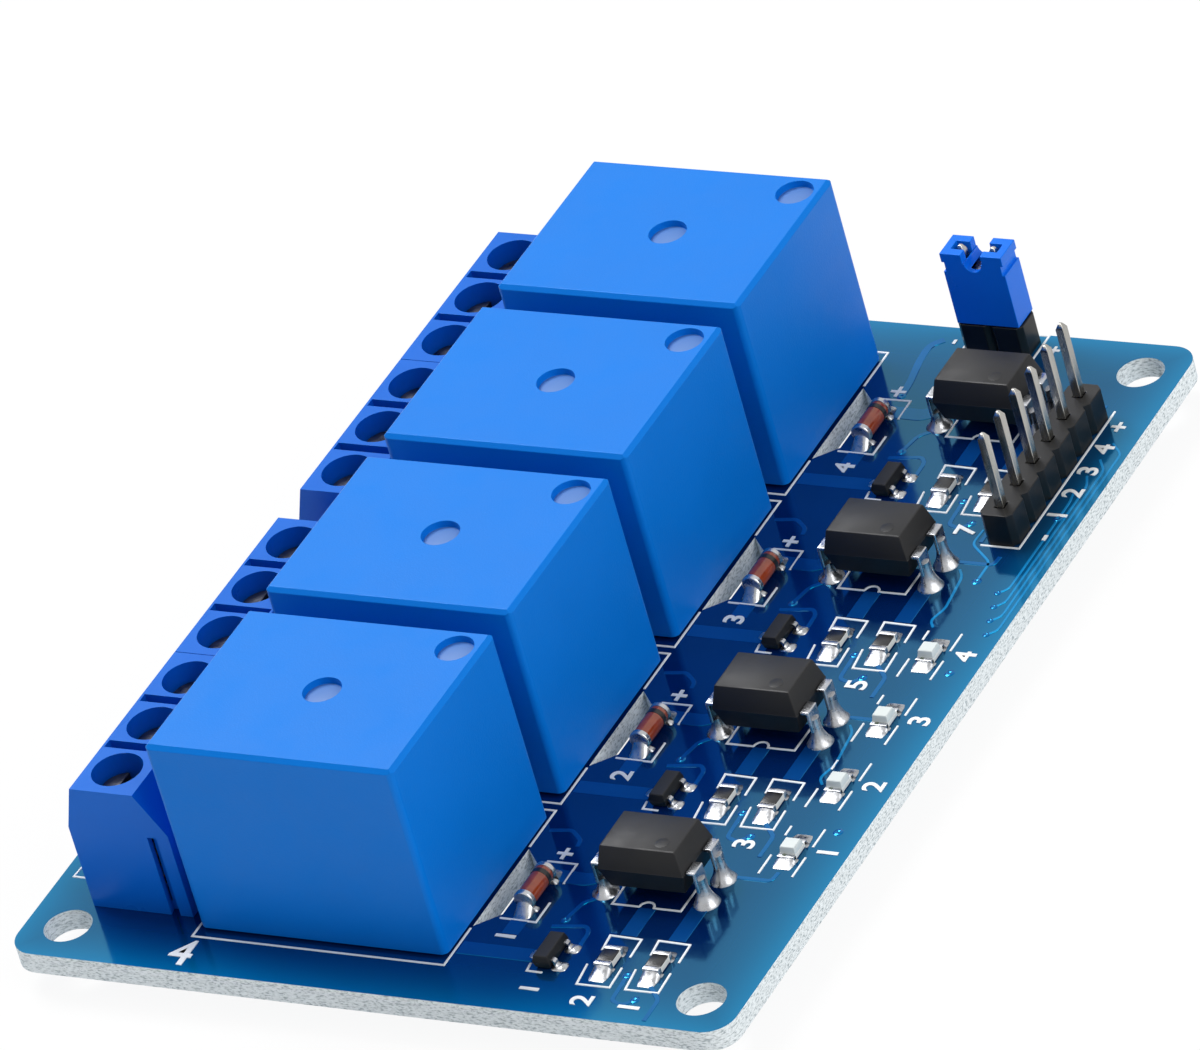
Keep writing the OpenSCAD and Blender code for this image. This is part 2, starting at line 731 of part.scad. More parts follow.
module header_strip(places, turn = 0) {
    color("dimgray")
    linear_extrude(strip_h) for (p = places) translate(p) rotate(turn) strip_segment();
}

// Square pin with both ends tapered on four sides
module header_pin() {
    low = -board_t - pin_tail;
    high = strip_h + pin_up;
    w = pin_w / 2;
    t = pin_tip;
    color("silver")
    intersection() {
        along_y(pin_w) header_pin_side(low, high, w, t);
        along_x(pin_w) header_pin_side(low, high, w, t);
    }
}

module header_pin_side(low, high, w, t) {
    polygon([[-w + t, low], [w - t, low], [w, low + 2 * t], [w, high - 2 * t],
             [w - t, high], [-w + t, high], [-w, high - 2 * t], [-w, low + 2 * t]]);
}

module at_input() { translate([input_x, input_y, board_t]) children(); }
module at_power() { translate([power_x, power_y, board_t]) children(); }
module input_header() { at_input() header_strip(input_pin_places()); }
module input_pins() {
    at_input() for (p = input_pin_places()) translate([p[0], p[1], 0]) header_pin();
}
module power_header() { at_power() header_strip(power_pin_places(), 90); }
module power_pins() {
    at_power() for (p = power_pin_places()) translate([p[0], p[1], 0]) header_pin();
}

// Jumper cap: a sleeve over the two pins, notched at the top, with ribs on its ends
module jumper_cap() {
    bottom = strip_h + seat_gap;
    top = bottom + cap_h;
    neck = top - cap_head_h;
    head = top - cap_head_h / 2;
    color("blue") at_power()
    difference() {
        union() {
            box_at([-cap_w / 2, cap_w / 2], [-cap_d / 2, cap_d / 2], [bottom, neck]);
            box_at([-cap_w / 2 + cap_waist, cap_w / 2 - cap_waist], [-cap_d / 2, cap_d / 2],
                   [neck, head]);
            box_at([-cap_w / 2, cap_w / 2], [-cap_d / 2, cap_d / 2], [head, top]);
        }
        translate([0, 0, bottom - past]) linear_extrude(past + neck - bottom + cap_notch_deep)
            square([cap_w - 2 * cap_wall, cap_d - 2 * cap_wall], center = true);
        box_at([-cap_notch_w / 2, cap_notch_w / 2], [-cap_d, cap_d], [head, top + past]);
        translate([0, 0, head]) rotate([90, 0, 0])
            cylinder(2 * cap_d, d = cap_window_d, center = true, $fn = ROUND);
        for (p = power_pin_places()) translate([p[0], p[1], top])
            cube([pin_w + 4 * run_gap, pin_w + 3 * run_gap, 3 * cap_head_h], center = true);
    }
}

// The clip in the cap: a plate on each side of the pins, joined by a bridge between them
module jumper_clip() {
    l = cap_w - 2 * cap_wall - 2 * seat_gap;
    inner = pin_w / 2 + seat_gap;
    outer = inner + clip_t;
    low = strip_h + 3 * seat_gap;
    high = strip_h + cap_h - clip_drop;
    color("lightgray") at_power() {
        box_at([-l / 2, l / 2], [inner, outer], [low, high]);
        box_at([-l / 2, l / 2], [-outer, -inner], [low, high]);
        box_at([-clip_bridge_w / 2, clip_bridge_w / 2], [-inner - clip_t / 2, inner + clip_t / 2],
               [high - clip_t, high]);
    }
}

// ---- Optocoupler ----
// Side view of the moulded body: each half narrows away from the seam
module drafted_side(w) {
    seam = opto_h / 2;
    polygon([[-w / 2 + opto_draft, 0], [w / 2 - opto_draft, 0], [w / 2, seam],
             [w / 2 - opto_draft, opto_h], [-w / 2 + opto_draft, opto_h], [-w / 2, seam]]);
}

module optocoupler() {
    color("dimgray")
    difference() {
        translate([0, 0, opto_lift]) intersection() {
            along_y(opto_l) drafted_side(opto_w);
            along_x(opto_w) drafted_side(opto_l);
        }
        translate([opto_w / 2 - opto_dot_x, opto_dot_y - opto_l / 2,
                   opto_lift + opto_h - opto_dot_depth])
            cylinder(past, d = opto_dot_d, $fn = ROUND);
    }
}

// One lead: out of the seam, down past a wide shoulder, and through the board
module optocoupler_lead() {
    seam = opto_lift + opto_h / 2;
    out = opto_row / 2 + opto_lead_t / 2;
    color("silver") {
        box_at([opto_w / 2, out], [-opto_shoulder_w / 2, opto_shoulder_w / 2],
               [seam - opto_lead_t / 2, seam + opto_lead_t / 2]);
        box_at([out - opto_lead_t, out], [-opto_shoulder_w / 2, opto_shoulder_w / 2],
               [opto_solder_h + run_gap, seam]);
        box_at([out - opto_lead_t, out], [-opto_lead_w / 2, opto_lead_w / 2],
               [-board_t - tail_h, seam]);
    }
}

module at_optos() { translate([opto_x, opto_y, 0]) at_channels() children(); }
module optocouplers() { at_optos() optocoupler(); }
module optocoupler_leads() {
    at_optos() for (x = [0, 1], y = [-1, 1])
        mirror([x, 0, 0]) translate([0, y * opto_pitch / 2, 0]) optocoupler_lead();
}

// ---- Small parts soldered to the top ----
// Glass tube with a metal cap at each end, turned about its axis along Y
module flyback_diode() {
    glass_r = diode_d / 2 - diode_glass_step;
    color("sienna")
    translate([diode_x, diode_y, small_lift + diode_d / 2]) rotate([90, 0, 0])
        union() {
            cylinder(diode_l, r = glass_r, center = true, $fn = ROUND);
            for (z = [-1, 1]) translate([0, 0, z * (diode_l - diode_cap_l) / 2])
                cylinder(diode_cap_l, d = diode_d, center = true, $fn = ROUND);
        }
}

// Moulded body with one bent lead on its left and two on its right
module transistor() {
    w = transistor_w / 2;
    l = transistor_l / 2;
    h = transistor_h;
    t = transistor_lead_t;
    d = transistor_draft;
    bend = transistor_bend;
    out = transistor_lead_out;
    translate([transistor_x, transistor_y, small_lift]) {
        color("black") intersection() {
            along_y(transistor_l)
                polygon([[-w + d, 0], [w - d, 0], [w, h / 2], [w - d, h], [-w + d, h], [-w, h / 2]]);
            along_x(transistor_w)
                polygon([[-l + d, 0], [l - d, 0], [l, h / 2], [l - d, h], [-l + d, h], [-l, h / 2]]);
        }
        color("silver") for (p = [[-1, 0], [1, -1], [1, 1]])
            mirror([p[0] < 0 ? 1 : 0, 0, 0])
            translate([0, p[1] * transistor_lead_y, 0]) along_y(transistor_lead_w)
                polygon([[w - weld, (h - t) / 2], [w + bend / 2, (h - t) / 2], [w + bend, 0],
                         [w + out, 0], [w + out, t], [w + bend + t, t],
                         [w + bend, (h + t) / 2], [w - weld, (h + t) / 2]]);
    }
}

// Ceramic chip with a raised metal cap at each end
module chip_resistor(x) {
    translate([x, chip_y, small_lift]) {
        color("black") translate([0, 0, chip_h / 2])
            cube([chip_w - 2 * chip_skin, chip_l, chip_h - 2 * chip_skin], center = true);
        color("silver") for (y = [-1, 1])
            translate([0, y * (chip_l - chip_end_l) / 2, chip_h / 2])
                cube([chip_w, chip_end_l, chip_h], center = true);
    }
}

// Lamp: a flat base with metal ends and a clear block on top
module indicator_led(i) {
    base_h = led_base_h;
    dome = chip_l * led_dome / 2;
    translate([led_x, led_y + i * led_pitch, board_t + small_lift]) color("white") {
        translate([0, 0, base_h / 2]) cube([chip_w, chip_l, base_h], center = true);
        along_x(chip_w) polygon([[-dome, base_h / 2], [dome, base_h / 2],
                                 [dome - led_draft, led_h], [-dome + led_draft, led_h]]);
    }
}

module flyback_diodes() { at_channels() flyback_diode(); }
module transistors() { at_channels() transistor(); }
module chip_resistors() {
    at_channels() { chip_resistor(chip_left_x); chip_resistor(chip_right_x); }
}
module indicator_leds() {
    for (i = [0:CHANNELS - 1]) indicator_led(i);
}

circuit_board();
solder_joints();
for (k = [1:CHANNELS]) {
    at_relay(k) relay_cover();
    at_relay(k) relay_base();
    at_relay(k) relay_armature();
}
relay_coils();
relay_bobbins();
relay_yokes();
relay_terminals();
for (b = [1:BLOCKS])
    at_block(b) terminal_housing();
for (w = [1:BLOCKS * WAYS]) {
    at_way(w) translate([driver_hole_x, 0, 0]) clamp_screw();
    at_way(w) translate([driver_hole_x, 0, 0]) wire_clamp();
}
terminal_legs();
input_header();
input_pins();
power_header();
power_pins();
jumper_cap();
jumper_clip();
optocouplers();
optocoupler_leads();
flyback_diodes();
transistors();
chip_resistors();
indicator_leds();
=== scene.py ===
# %% [markdown]
# # A relay module board
# The frame is the finished construction: every solid already stands in its place, in metres,
# with the origin at the middle of the four mounting holes on the underside. This lesson gives
# each solid its real skin. Moulded parts get rounded edges, printed lines and copper tracks
# are laid on the board as thin raised strips, and solder is drawn as the smooth slopes that
# it sets in.

# %% Load the frame
import math
import bmesh
import bpy
import numpy as np
from mathutils import Matrix, Vector


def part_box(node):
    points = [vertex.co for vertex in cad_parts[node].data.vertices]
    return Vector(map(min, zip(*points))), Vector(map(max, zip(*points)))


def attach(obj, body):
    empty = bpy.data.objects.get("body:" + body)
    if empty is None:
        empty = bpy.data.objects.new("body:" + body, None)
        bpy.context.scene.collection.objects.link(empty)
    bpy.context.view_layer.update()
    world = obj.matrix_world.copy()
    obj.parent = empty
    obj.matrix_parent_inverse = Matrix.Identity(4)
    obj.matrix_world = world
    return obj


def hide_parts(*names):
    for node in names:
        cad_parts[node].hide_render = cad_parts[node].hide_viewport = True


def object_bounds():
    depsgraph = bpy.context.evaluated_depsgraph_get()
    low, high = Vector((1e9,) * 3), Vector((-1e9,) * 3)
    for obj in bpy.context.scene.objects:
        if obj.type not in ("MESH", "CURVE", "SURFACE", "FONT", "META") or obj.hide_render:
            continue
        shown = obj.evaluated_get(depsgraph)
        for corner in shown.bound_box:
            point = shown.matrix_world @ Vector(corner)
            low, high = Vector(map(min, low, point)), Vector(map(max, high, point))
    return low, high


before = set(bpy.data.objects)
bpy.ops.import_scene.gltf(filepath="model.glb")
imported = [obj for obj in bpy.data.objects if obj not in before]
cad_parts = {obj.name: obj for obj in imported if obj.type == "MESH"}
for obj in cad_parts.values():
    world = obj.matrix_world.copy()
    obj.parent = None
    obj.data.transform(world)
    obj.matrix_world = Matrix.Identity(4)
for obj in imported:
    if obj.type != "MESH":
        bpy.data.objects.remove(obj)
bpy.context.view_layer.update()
MM = 0.001
CHANNELS = range(1, 5)
WAYS = range(1, 13)

# %% [markdown]
# ## Measuring the frame
# Several nodes hold a set of like solids, such as sixteen leads. Their triangles are loose, so
# a copy is merged first. Corners that share an edge then belong to one solid, and the box of
# each solid tells where its dressing goes.

# %% Boxes of the separate solids


def merged(node):
    """A copy of a node's mesh with its equal corners joined into one."""
    bm = bmesh.new()
    bm.from_mesh(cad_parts[node].data)
    bmesh.ops.remove_doubles(bm, verts=bm.verts, dist=1e-7)
    return bm


def solids(node):
    """Boxes in mm, as rows (x0, y0, z0, x1, y1, z1), of a node's solids. Each corner takes the
    lowest number among its edge neighbours until nothing changes: equal numbers, one solid."""
    bm = merged(node)
    xyz = np.array([v.co for v in bm.verts]) / MM
    edge = np.array([[e.verts[0].index, e.verts[1].index] for e in bm.edges])
    bm.free()
    label = np.arange(len(xyz))
    while True:
        low = np.minimum(label[edge[:, 0]], label[edge[:, 1]])
        new = label.copy()
        np.minimum.at(new, edge[:, 0], low)
        np.minimum.at(new, edge[:, 1], low)
        new = new[new]
        if (new == label).all():
            break
        label = new
    rows = [np.r_[xyz[label == k].min(0), xyz[label == k].max(0)] for k in np.unique(label)]
    return np.array(rows)


def middle(row):
    """Middle of a box in mm."""
    return (row[:3] + row[3:]) / 2


def whole(node):
    """Box in mm, as one row (x0, y0, z0, x1, y1, z1), of a node with all its solids."""
    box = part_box(node)
    return np.r_[box[0], box[1]] / MM


board = whole("circuit_board")
TOP = board[5]
relay_box = [whole(f"relay_{k}_cover") for k in CHANNELS]
channel_y = [middle(b)[1] for b in relay_box]
joints_box = solids("solder_joints")
opto_box = solids("optocouplers")
print("board top", TOP, "channels", np.round(channel_y, 2), "solder joints", len(joints_box))

# %% [markdown]
# ## Surfaces from arrays
# Most new pieces are one grid of points: along the grid's first direction a profile is
# repeated, along the second it is closed into a ring. One helper turns such a grid into a
# closed surface with its faces outwards, and collects many of them in one object.

# %% Grid helper


class Shell:
    """Collects grids of points, in mm, into one mesh."""

    def __init__(self):
        self.points, self.faces, self.marks, self.count = [], [], [], 0

    def grid(self, p, wrap=False, mark=0):
        """Adds a closed surface of rings p[ring, place, xyz]. Face (i, j) joins places j and
        j+1 of rings i and i+1, and the last place joins the first. The end rings are capped,
        or with wrap the last ring joins the first. The sum of a . (b x c) over its triangles
        is six times the volume: if it is negative, the faces are turned round."""
        n, m = p.shape[:2]
        i = np.arange(n if wrap else n - 1)[:, None]
        j = np.arange(m)[None, :]
        k, nxt = (j + 1) % m, (i + 1) % n
        quad = np.stack([i * m + j, i * m + k, nxt * m + k, nxt * m + j], -1).reshape(-1, 4)
        faces = [quad]
        if not wrap:
            faces += [np.arange(m)[None, ::-1], (np.arange(m) + (n - 1) * m)[None]]
        flat = p.reshape(-1, 3)
        about = flat - flat.mean(0)
        volume = 0
        for f in faces:
            turned = np.cross(about[f[:, 1:-1]], about[f[:, 2:]])
            volume += (about[f[:, :1]] * turned).sum()
        for f in faces:
            f = f[:, ::-1] if volume < 0 else f
            self.faces += (f + self.count).tolist()
            self.marks += [mark] * len(f)
        self.points.append(flat)
        self.count += n * m

    def build(self, name, finishes, smooth=35):
        """The object, with one finish for each mark, and edges over `smooth` degrees sharp."""
        mesh = bpy.data.meshes.new(name)
        mesh.from_pydata((np.vstack(self.points) * MM).tolist(), [], self.faces)
        mesh.polygons.foreach_set("material_index", self.marks)
        for f in finishes:
            mesh.materials.append(f)
        mesh.shade_smooth()
        mesh.set_sharp_from_angle(angle=math.radians(smooth))
        obj = bpy.data.objects.new(name, mesh)
        bpy.context.scene.collection.objects.link(obj)
        print(f"{name}: {len(mesh.polygons)} faces")
        return obj


# %% [markdown]
# A printed line or a copper track is a small profile carried along a path. At each bend the
# profile is turned to the mitre between the two directions and widened by one over the
# cosine of half the turn, so the strip keeps its width.

# %% Profile along a path
SHARPEST = 0.35
SUNK = 0.01
SLOPE = 0.8


def carry(shell, path, profile, closed=False, mark=0):
    """Carries profile rows (side, up) along flat path rows (x, y, z), in mm. The cosine of half
    a turn counts as SHARPEST at least, so that no mitre grows without end."""
    path = np.asarray(path, float)
    ahead = np.roll(path, -1, 0) - path
    if not closed:
        ahead[-1] = ahead[-2]
    ahead = ahead[:, :2] / np.linalg.norm(ahead[:, :2], axis=1)[:, None]
    back = np.roll(ahead, 1, 0)
    if not closed:
        back[0] = ahead[0]
    tangent = ahead + back
    tangent /= np.linalg.norm(tangent, axis=1)[:, None]
    widen = 1 / np.clip((tangent * ahead).sum(1), SHARPEST, 1)
    side = np.stack([-tangent[:, 1], tangent[:, 0]], 1) * widen[:, None]
    profile = np.asarray(profile, float)
    p = np.empty((len(path), len(profile), 3))
    p[:, :, :2] = path[:, None, :2] + side[:, None] * profile[None, :, :1]
    p[:, :, 2] = path[:, None, 2] + profile[None, :, 1]
    shell.grid(p, wrap=closed, mark=mark)


def strip(shell, points, width, height, z=TOP, closed=False, mark=0):
    """A flat strip of that width and height, in mm, through points (x, y). Its sides slope in
    by SLOPE times the height and its foot is sunk by SUNK. A negative height hangs down."""
    points = np.asarray(points, float)
    path = np.c_[points, np.full(len(points), z)]
    foot = -SUNK if height > 0 else SUNK
    half = width / 2 - abs(height) * SLOPE
    profile = [(-width / 2, foot), (width / 2, foot), (half, height), (-half, height)]
    carry(shell, path, profile, closed, mark)


def arc(x, y, r, start, end, n=9):
    """Points on a circle's arc, from start to end degrees."""
    a = np.radians(np.linspace(start, end, n))
    return np.c_[x + r * np.cos(a), y + r * np.sin(a)]


def rounded_path(points, r, n=5):
    """The path with each inner corner cut by a small curve: a Bezier arc from r before the
    corner to r after it, bent towards the corner itself."""
    p = np.asarray(points, float)
    out = [p[:1]]
    t = np.linspace(0, 1, n)[:, None]
    for a, b, c in zip(p[:-2], p[1:-1], p[2:]):
        ra = min(r, np.linalg.norm(b - a) * 0.45)
        rc = min(r, np.linalg.norm(c - b) * 0.45)
        p0 = b + (a - b) / np.linalg.norm(a - b) * ra
        p2 = b + (c - b) / np.linalg.norm(c - b) * rc
        out.append((1 - t) ** 2 * p0 + 2 * t * (1 - t) * b + t ** 2 * p2)
    return np.vstack(out + [p[-1:]])


def lathe(shell, x, y, profile, n=24, mark=0, axis="z"):
    """Turns profile rows (radius, height) about an axis through (x, y), or through (x, z)
    for an axis along Y."""
    a = np.linspace(0, 2 * np.pi, n, endpoint=False)
    profile = np.asarray(profile, float)
    r, h = profile[:, 0][:, None], profile[:, 1][:, None] + 0 * a[None, :]
    if axis == "z":
        p = np.stack([x + r * np.cos(a), y + r * np.sin(a), h], -1)
    else:
        p = np.stack([x + r * np.cos(a), h, y + r * np.sin(a)], -1)
    shell.grid(p, mark=mark)


# %% [markdown]
# ## Rounded moulded parts
# No moulding has a knife edge: the steel of the mould leaves a radius that catches a thin
# line of light. A copy of the solid is merged, its flat triangles are joined to whole faces,
# and a Bevel modifier rounds every edge sharper than a limit. Weighted normals keep the big
# faces flat up to the round.

# %% Rounded copy of a solid


def soften(name, node, width, finish, body, limit=32, steps=3):
    """Stands for `node` with edges rounded by `width` mm, riding on `body`."""
    bm = merged(node)
    bmesh.ops.dissolve_limit(bm, angle_limit=math.radians(0.5), verts=bm.verts,
                             edges=bm.edges, delimit={"NORMAL"})
    mesh = bpy.data.meshes.new(name)
    bm.to_mesh(mesh)
    bm.free()
    mesh.shade_smooth()
    mesh.materials.append(finish)
    obj = bpy.data.objects.new(name, mesh)
    bpy.context.scene.collection.objects.link(obj)
    bevel = obj.modifiers.new("round", "BEVEL")
    bevel.width = width * MM
    bevel.segments = steps
    bevel.limit_method = "ANGLE"
    bevel.angle_limit = math.radians(limit)
    bevel.use_clamp_overlap = True
    bevel.harden_normals = True
    obj.modifiers.new("flat", "WEIGHTED_NORMAL").keep_sharp = True
    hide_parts(node)
    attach(obj, body)
    return obj


# %% [markdown]
# ## Finishes
# Every finish is built from a few nodes on Object coordinates. Noise shifts the colour a
# little, changes the gloss, and lifts the surface in fine bumps, because a real surface is
# never one even colour.

# %% Node helpers


class Finish:
    """A material with short calls for the nodes that a surface needs."""

    def __init__(self, name, rough=0.4, metal=0.0, **sockets):
        self.mat = bpy.data.materials.new(name)
        self.mat.use_nodes = True
        self.tree = self.mat.node_tree
        self.out = self.tree.nodes["Principled BSDF"]
        self.out.inputs["Roughness"].default_value = rough
        self.out.inputs["Metallic"].default_value = metal
        for key, value in sockets.items():
            self.out.inputs[key.replace("_", " ")].default_value = value
        self.place = self.node("ShaderNodeTexCoord").outputs["Object"]

    def node(self, kind, **values):
        """A new node of that kind with these settings."""
        n = self.tree.nodes.new(kind)
        for key, value in values.items():
            setattr(n, key, value)
        return n

    def link(self, a, b):
        """Joins output a to input b."""
        self.tree.links.new(a, b)

    def noise(self, size, detail=3, stretch=(1, 1, 1)):
        """Noise whose lumps are about `size` mm."""
        move = self.node("ShaderNodeMapping")
        move.inputs["Scale"].default_value = stretch
        self.link(self.place, move.inputs["Vector"])
        n = self.node("ShaderNodeTexNoise")
        n.inputs["Scale"].default_value = 1000 / size
        n.inputs["Detail"].default_value = detail
        self.link(move.outputs["Vector"], n.inputs["Vector"])
        return n.outputs["Fac"]

    def ramp(self, value, stops):
        """Colours along a value: stops are (position, (r, g, b))."""
        n = self.node("ShaderNodeValToRGB")
        while len(n.color_ramp.elements) < len(stops):
            n.color_ramp.elements.new(0.5)
        for e, (at, tone) in zip(n.color_ramp.elements, stops):
            e.position = at
            e.color = (*tone, 1)
        self.link(value, n.inputs["Fac"])
        return n.outputs["Color"]

    def mix(self, share, a, b):
        """Colour a mixed to colour b; each is a socket or a colour, share a socket or number."""
        n = self.node("ShaderNodeMix", data_type="RGBA", blend_type="MIX")
        for value, socket in ((share, n.inputs[0]), (a, n.inputs[6]), (b, n.inputs[7])):
            if isinstance(value, bpy.types.NodeSocket):
                self.link(value, socket)
            elif socket is n.inputs[0]:
                socket.default_value = value
            else:
                socket.default_value = (*value, 1)
        return n.outputs[2]

    def span(self, value, low, high, to_low, to_high):
        """The value's range low..high mapped onto another range."""
        n = self.node("ShaderNodeMapRange")
        self.link(value, n.inputs["Value"])
        for key, v in zip(("From Min", "From Max", "To Min", "To Max"),
                          (low, high, to_low, to_high)):
            n.inputs[key].default_value = v
        return n.outputs["Result"]

    def bump(self, height, depth):
        """Raises the surface by `height` times depth mm."""
        n = self.node("ShaderNodeBump")
        n.inputs["Strength"].default_value = 1.0
        n.inputs["Distance"].default_value = depth * MM
        self.link(height, n.inputs["Height"])
        self.link(n.outputs["Normal"], self.out.inputs["Normal"])

    def colour(self, socket):
        """Takes the surface's colour from a socket."""
        self.link(socket, self.out.inputs["Base Color"])

    def gloss(self, socket):
        """Takes the surface's roughness from a socket."""
        self.link(socket, self.out.inputs["Roughness"])


def rgb(code):
    """Linear colour of a screen colour such as 0x1060d0."""
    c = np.array([code >> 16 & 255, code >> 8 & 255, code & 255]) / 255
    return tuple(np.where(c <= 0.04045, c / 12.92, ((c + 0.055) / 1.055) ** 2.4))


def moulded(name, dark, light, rough, grain, depth, **sockets):
    """Moulded plastic: a slow change of colour, a fine grain, and gloss that varies."""
    f = Finish(name, rough, **sockets)
    f.colour(f.mix(f.noise(6, 4), rgb(dark), rgb(light)))
    f.gloss(f.span(f.noise(3), 0.3, 0.7, rough * 0.85, rough * 1.2))
    f.bump(f.noise(grain, 2), depth)
    return f.mat


def metal(name, dark, light, rough, lump=0.6, depth=0.004, stretch=(1, 1, 1)):
    """Bare metal: dull and bright patches, and fine marks along the stretch."""
    f = Finish(name, rough, 1.0)
    f.colour(f.mix(f.noise(lump, 4, stretch), rgb(dark), rgb(light)))
    f.gloss(f.span(f.noise(lump / 2, 2, stretch), 0.3, 0.7, rough * 0.7, rough * 1.4))
    f.bump(f.noise(lump / 3, 2, stretch), depth)
    return f.mat


# %% [markdown]
# Every plastic and metal of the board is one call of these two helpers, with its dark and its
# light colour, its roughness, and the size and depth of its grain. The blue plastics get a
# weak bluish shine, so that a white studio does not wash their colour out.

# %% Moulded and metal finishes
SHEEN = dict(Specular_IOR_Level=0.3, Specular_Tint=(0.3, 0.6, 1.0, 1))
relay_blue = moulded("relay_blue", 0x0070d0, 0x0074d6, 0.42, 0.11, 0.012, **SHEEN)
relay_base_blue = moulded("relay_base_blue", 0x0a4fa8, 0x0c5bbc, 0.4, 0.2, 0.004)
terminal_blue = moulded("terminal_blue", 0x0260c8, 0x0466d0, 0.32, 0.25, 0.002, **SHEEN)
cap_blue = moulded("cap_blue", 0x0468dc, 0x0870e4, 0.32, 0.2, 0.002, **SHEEN)
mark_blue = moulded("mark_blue", 0x3c6cb0, 0x4a7abc, 0.5, 0.1, 0.003)
epoxy_black = moulded("epoxy_black", 0x0b0b0c, 0x131315, 0.5, 0.09, 0.008,
                      Specular_IOR_Level=0.32)
strip_black = moulded("strip_black", 0x070708, 0x0e0e10, 0.36, 0.2, 0.003,
                      Specular_IOR_Level=0.3)
bobbin_white = moulded("bobbin_white", 0xcfcabb, 0xe2ddd0, 0.45, 0.3, 0.004)
solder_silver = metal("solder_silver", 0x7f8185, 0xcfd0d2, 0.3, 0.7, 0.012)
tin = metal("tin", 0x9b9da2, 0xd0d2d6, 0.26, 1.2, 0.003)
pin_metal = metal("pin_metal", 0x8f8d88, 0xcac8c2, 0.22, 0.9, 0.002, (1, 1, 0.15))
brass = metal("brass", 0xa8863c, 0xd2b05a, 0.28, 1.2, 0.003)
# Painted shade: the clamp screws' metal is darkened to stand for the shade of the deep screwdriver
# holes they sit in.
screw_metal_painted_shade = metal("screw_metal_painted_shade", 0x3c3e44, 0x74767c, 0.36, 1.5, 0.002)
iron = metal("iron", 0x6e6f72, 0x9c9da0, 0.35, 1.2, 0.003)

# %% [markdown]
# The coil is a bobbin full of thin enamelled wire. Bands along its height show the turns.

# %% Winding finish
wind = Finish("winding", 0.3, 1.0)
turns = wind.node("ShaderNodeTexWave", wave_type="BANDS", bands_direction="Z")
turns.inputs["Scale"].default_value = 2200
turns.inputs["Distortion"].default_value = 0.6
wind.link(wind.place, turns.inputs["Vector"])
wind.colour(wind.mix(turns.outputs["Fac"], rgb(0x7a3412), rgb(0xd8763a)))
wind.bump(turns.outputs["Fac"], 0.03)
winding = wind.mat

# %% [markdown]
# ## The laminate
# The board is glass cloth in epoxy, covered with blue solder mask on both faces. Its cut
# edge and the walls of its holes show the bare cloth: pale, with grey layers and frayed
# fibres. One finish does both. Where the surface looks up or down it is mask, elsewhere
# cloth, and the mask is lacquer with a clear gloss. Towards the rim the mask's blue is
# painted paler and greener by position: this is painted light, not the mask's own colour.

# %% Board finish
GLAZE = dict(IOR=1.75, Specular_IOR_Level=1.0, Specular_Tint=(0.0, 0.6, 1.0, 1))
# Painted light: how far in from the rim, in mm, the mask is painted paler, and how fast that fades.
PAINTED_LIGHT_WIDE = 7
PAINTED_LIGHT_FALL = 2.6
lam = Finish("solder_mask_and_cloth", 0.12, **GLAZE)
facing = lam.node("ShaderNodeSeparateXYZ")
lam.link(lam.node("ShaderNodeTexCoord").outputs["Normal"], facing.inputs["Vector"])
level = lam.node("ShaderNodeMath", operation="ABSOLUTE")
lam.link(facing.outputs["Z"], level.inputs[0])
is_mask = lam.span(level.outputs["Value"], 0.4, 0.6, 0, 1)
spot = lam.node("ShaderNodeSeparateXYZ")
lam.link(lam.place, spot.inputs["Vector"])
near = []
for axis, half in (("X", board[3]), ("Y", board[4])):
    away = lam.node("ShaderNodeMath", operation="ABSOLUTE")
    lam.link(spot.outputs[axis], away.inputs[0])
    near.append(lam.span(away.outputs["Value"], (half - PAINTED_LIGHT_WIDE) * MM, half * MM, 0, 1))
nearest = lam.node("ShaderNodeMath", operation="MAXIMUM")
lam.link(near[0], nearest.inputs[0])
lam.link(near[1], nearest.inputs[1])
# Painted light: nearness to the rim, raised to a power, sets how much paler blue is painted on.
painted_edge_light = lam.node("ShaderNodeMath", operation="POWER")
painted_edge_light.inputs[1].default_value = PAINTED_LIGHT_FALL
lam.link(nearest.outputs["Value"], painted_edge_light.inputs[0])
deep = lam.mix(lam.noise(9, 4), rgb(0x001848), rgb(0x001f58))
# The mask's own slow blue, mixed towards a paler, greener blue near the rim as painted light.
mask_and_painted_light = lam.mix(painted_edge_light.outputs["Value"], deep, rgb(0x006090))
cloth = lam.ramp(lam.noise(0.16, 3, (0.5, 0.5, 1.4)),
                 [(0.34, rgb(0xa4a4a2)), (0.44, rgb(0xdcdcd9)), (0.56, rgb(0xf0f0ee)),
                  (0.8, rgb(0xf8f8f6))])
flecks = lam.ramp(lam.noise(0.09, 2), [(0.64, (0, 0, 0)), (0.7, (1, 1, 1))])
fibre = lam.mix(flecks, cloth, rgb(0xb4b4b2))
lam.colour(lam.mix(is_mask, fibre, mask_and_painted_light))
lam.gloss(lam.span(is_mask, 0, 1, 0.8, 0.1))
lam.bump(lam.noise(0.6, 3), 0.003)
laminate = lam.mat


def lacquer(name, dark, light, rough=0.12, lump=4, **sockets):
    """Copper under solder mask, or a printed line: colour with slow patches under a gloss."""
    f = Finish(name, rough, **sockets)
    f.colour(f.mix(f.noise(lump, 3), rgb(dark), rgb(light)))
    f.gloss(f.span(f.noise(1.5), 0.3, 0.7, rough * 0.8, rough * 1.3))
    f.bump(f.noise(0.6, 2), 0.003)
    return f.mat


track_blue = lacquer("track_blue", 0x043a7c, 0x08468c, **GLAZE)
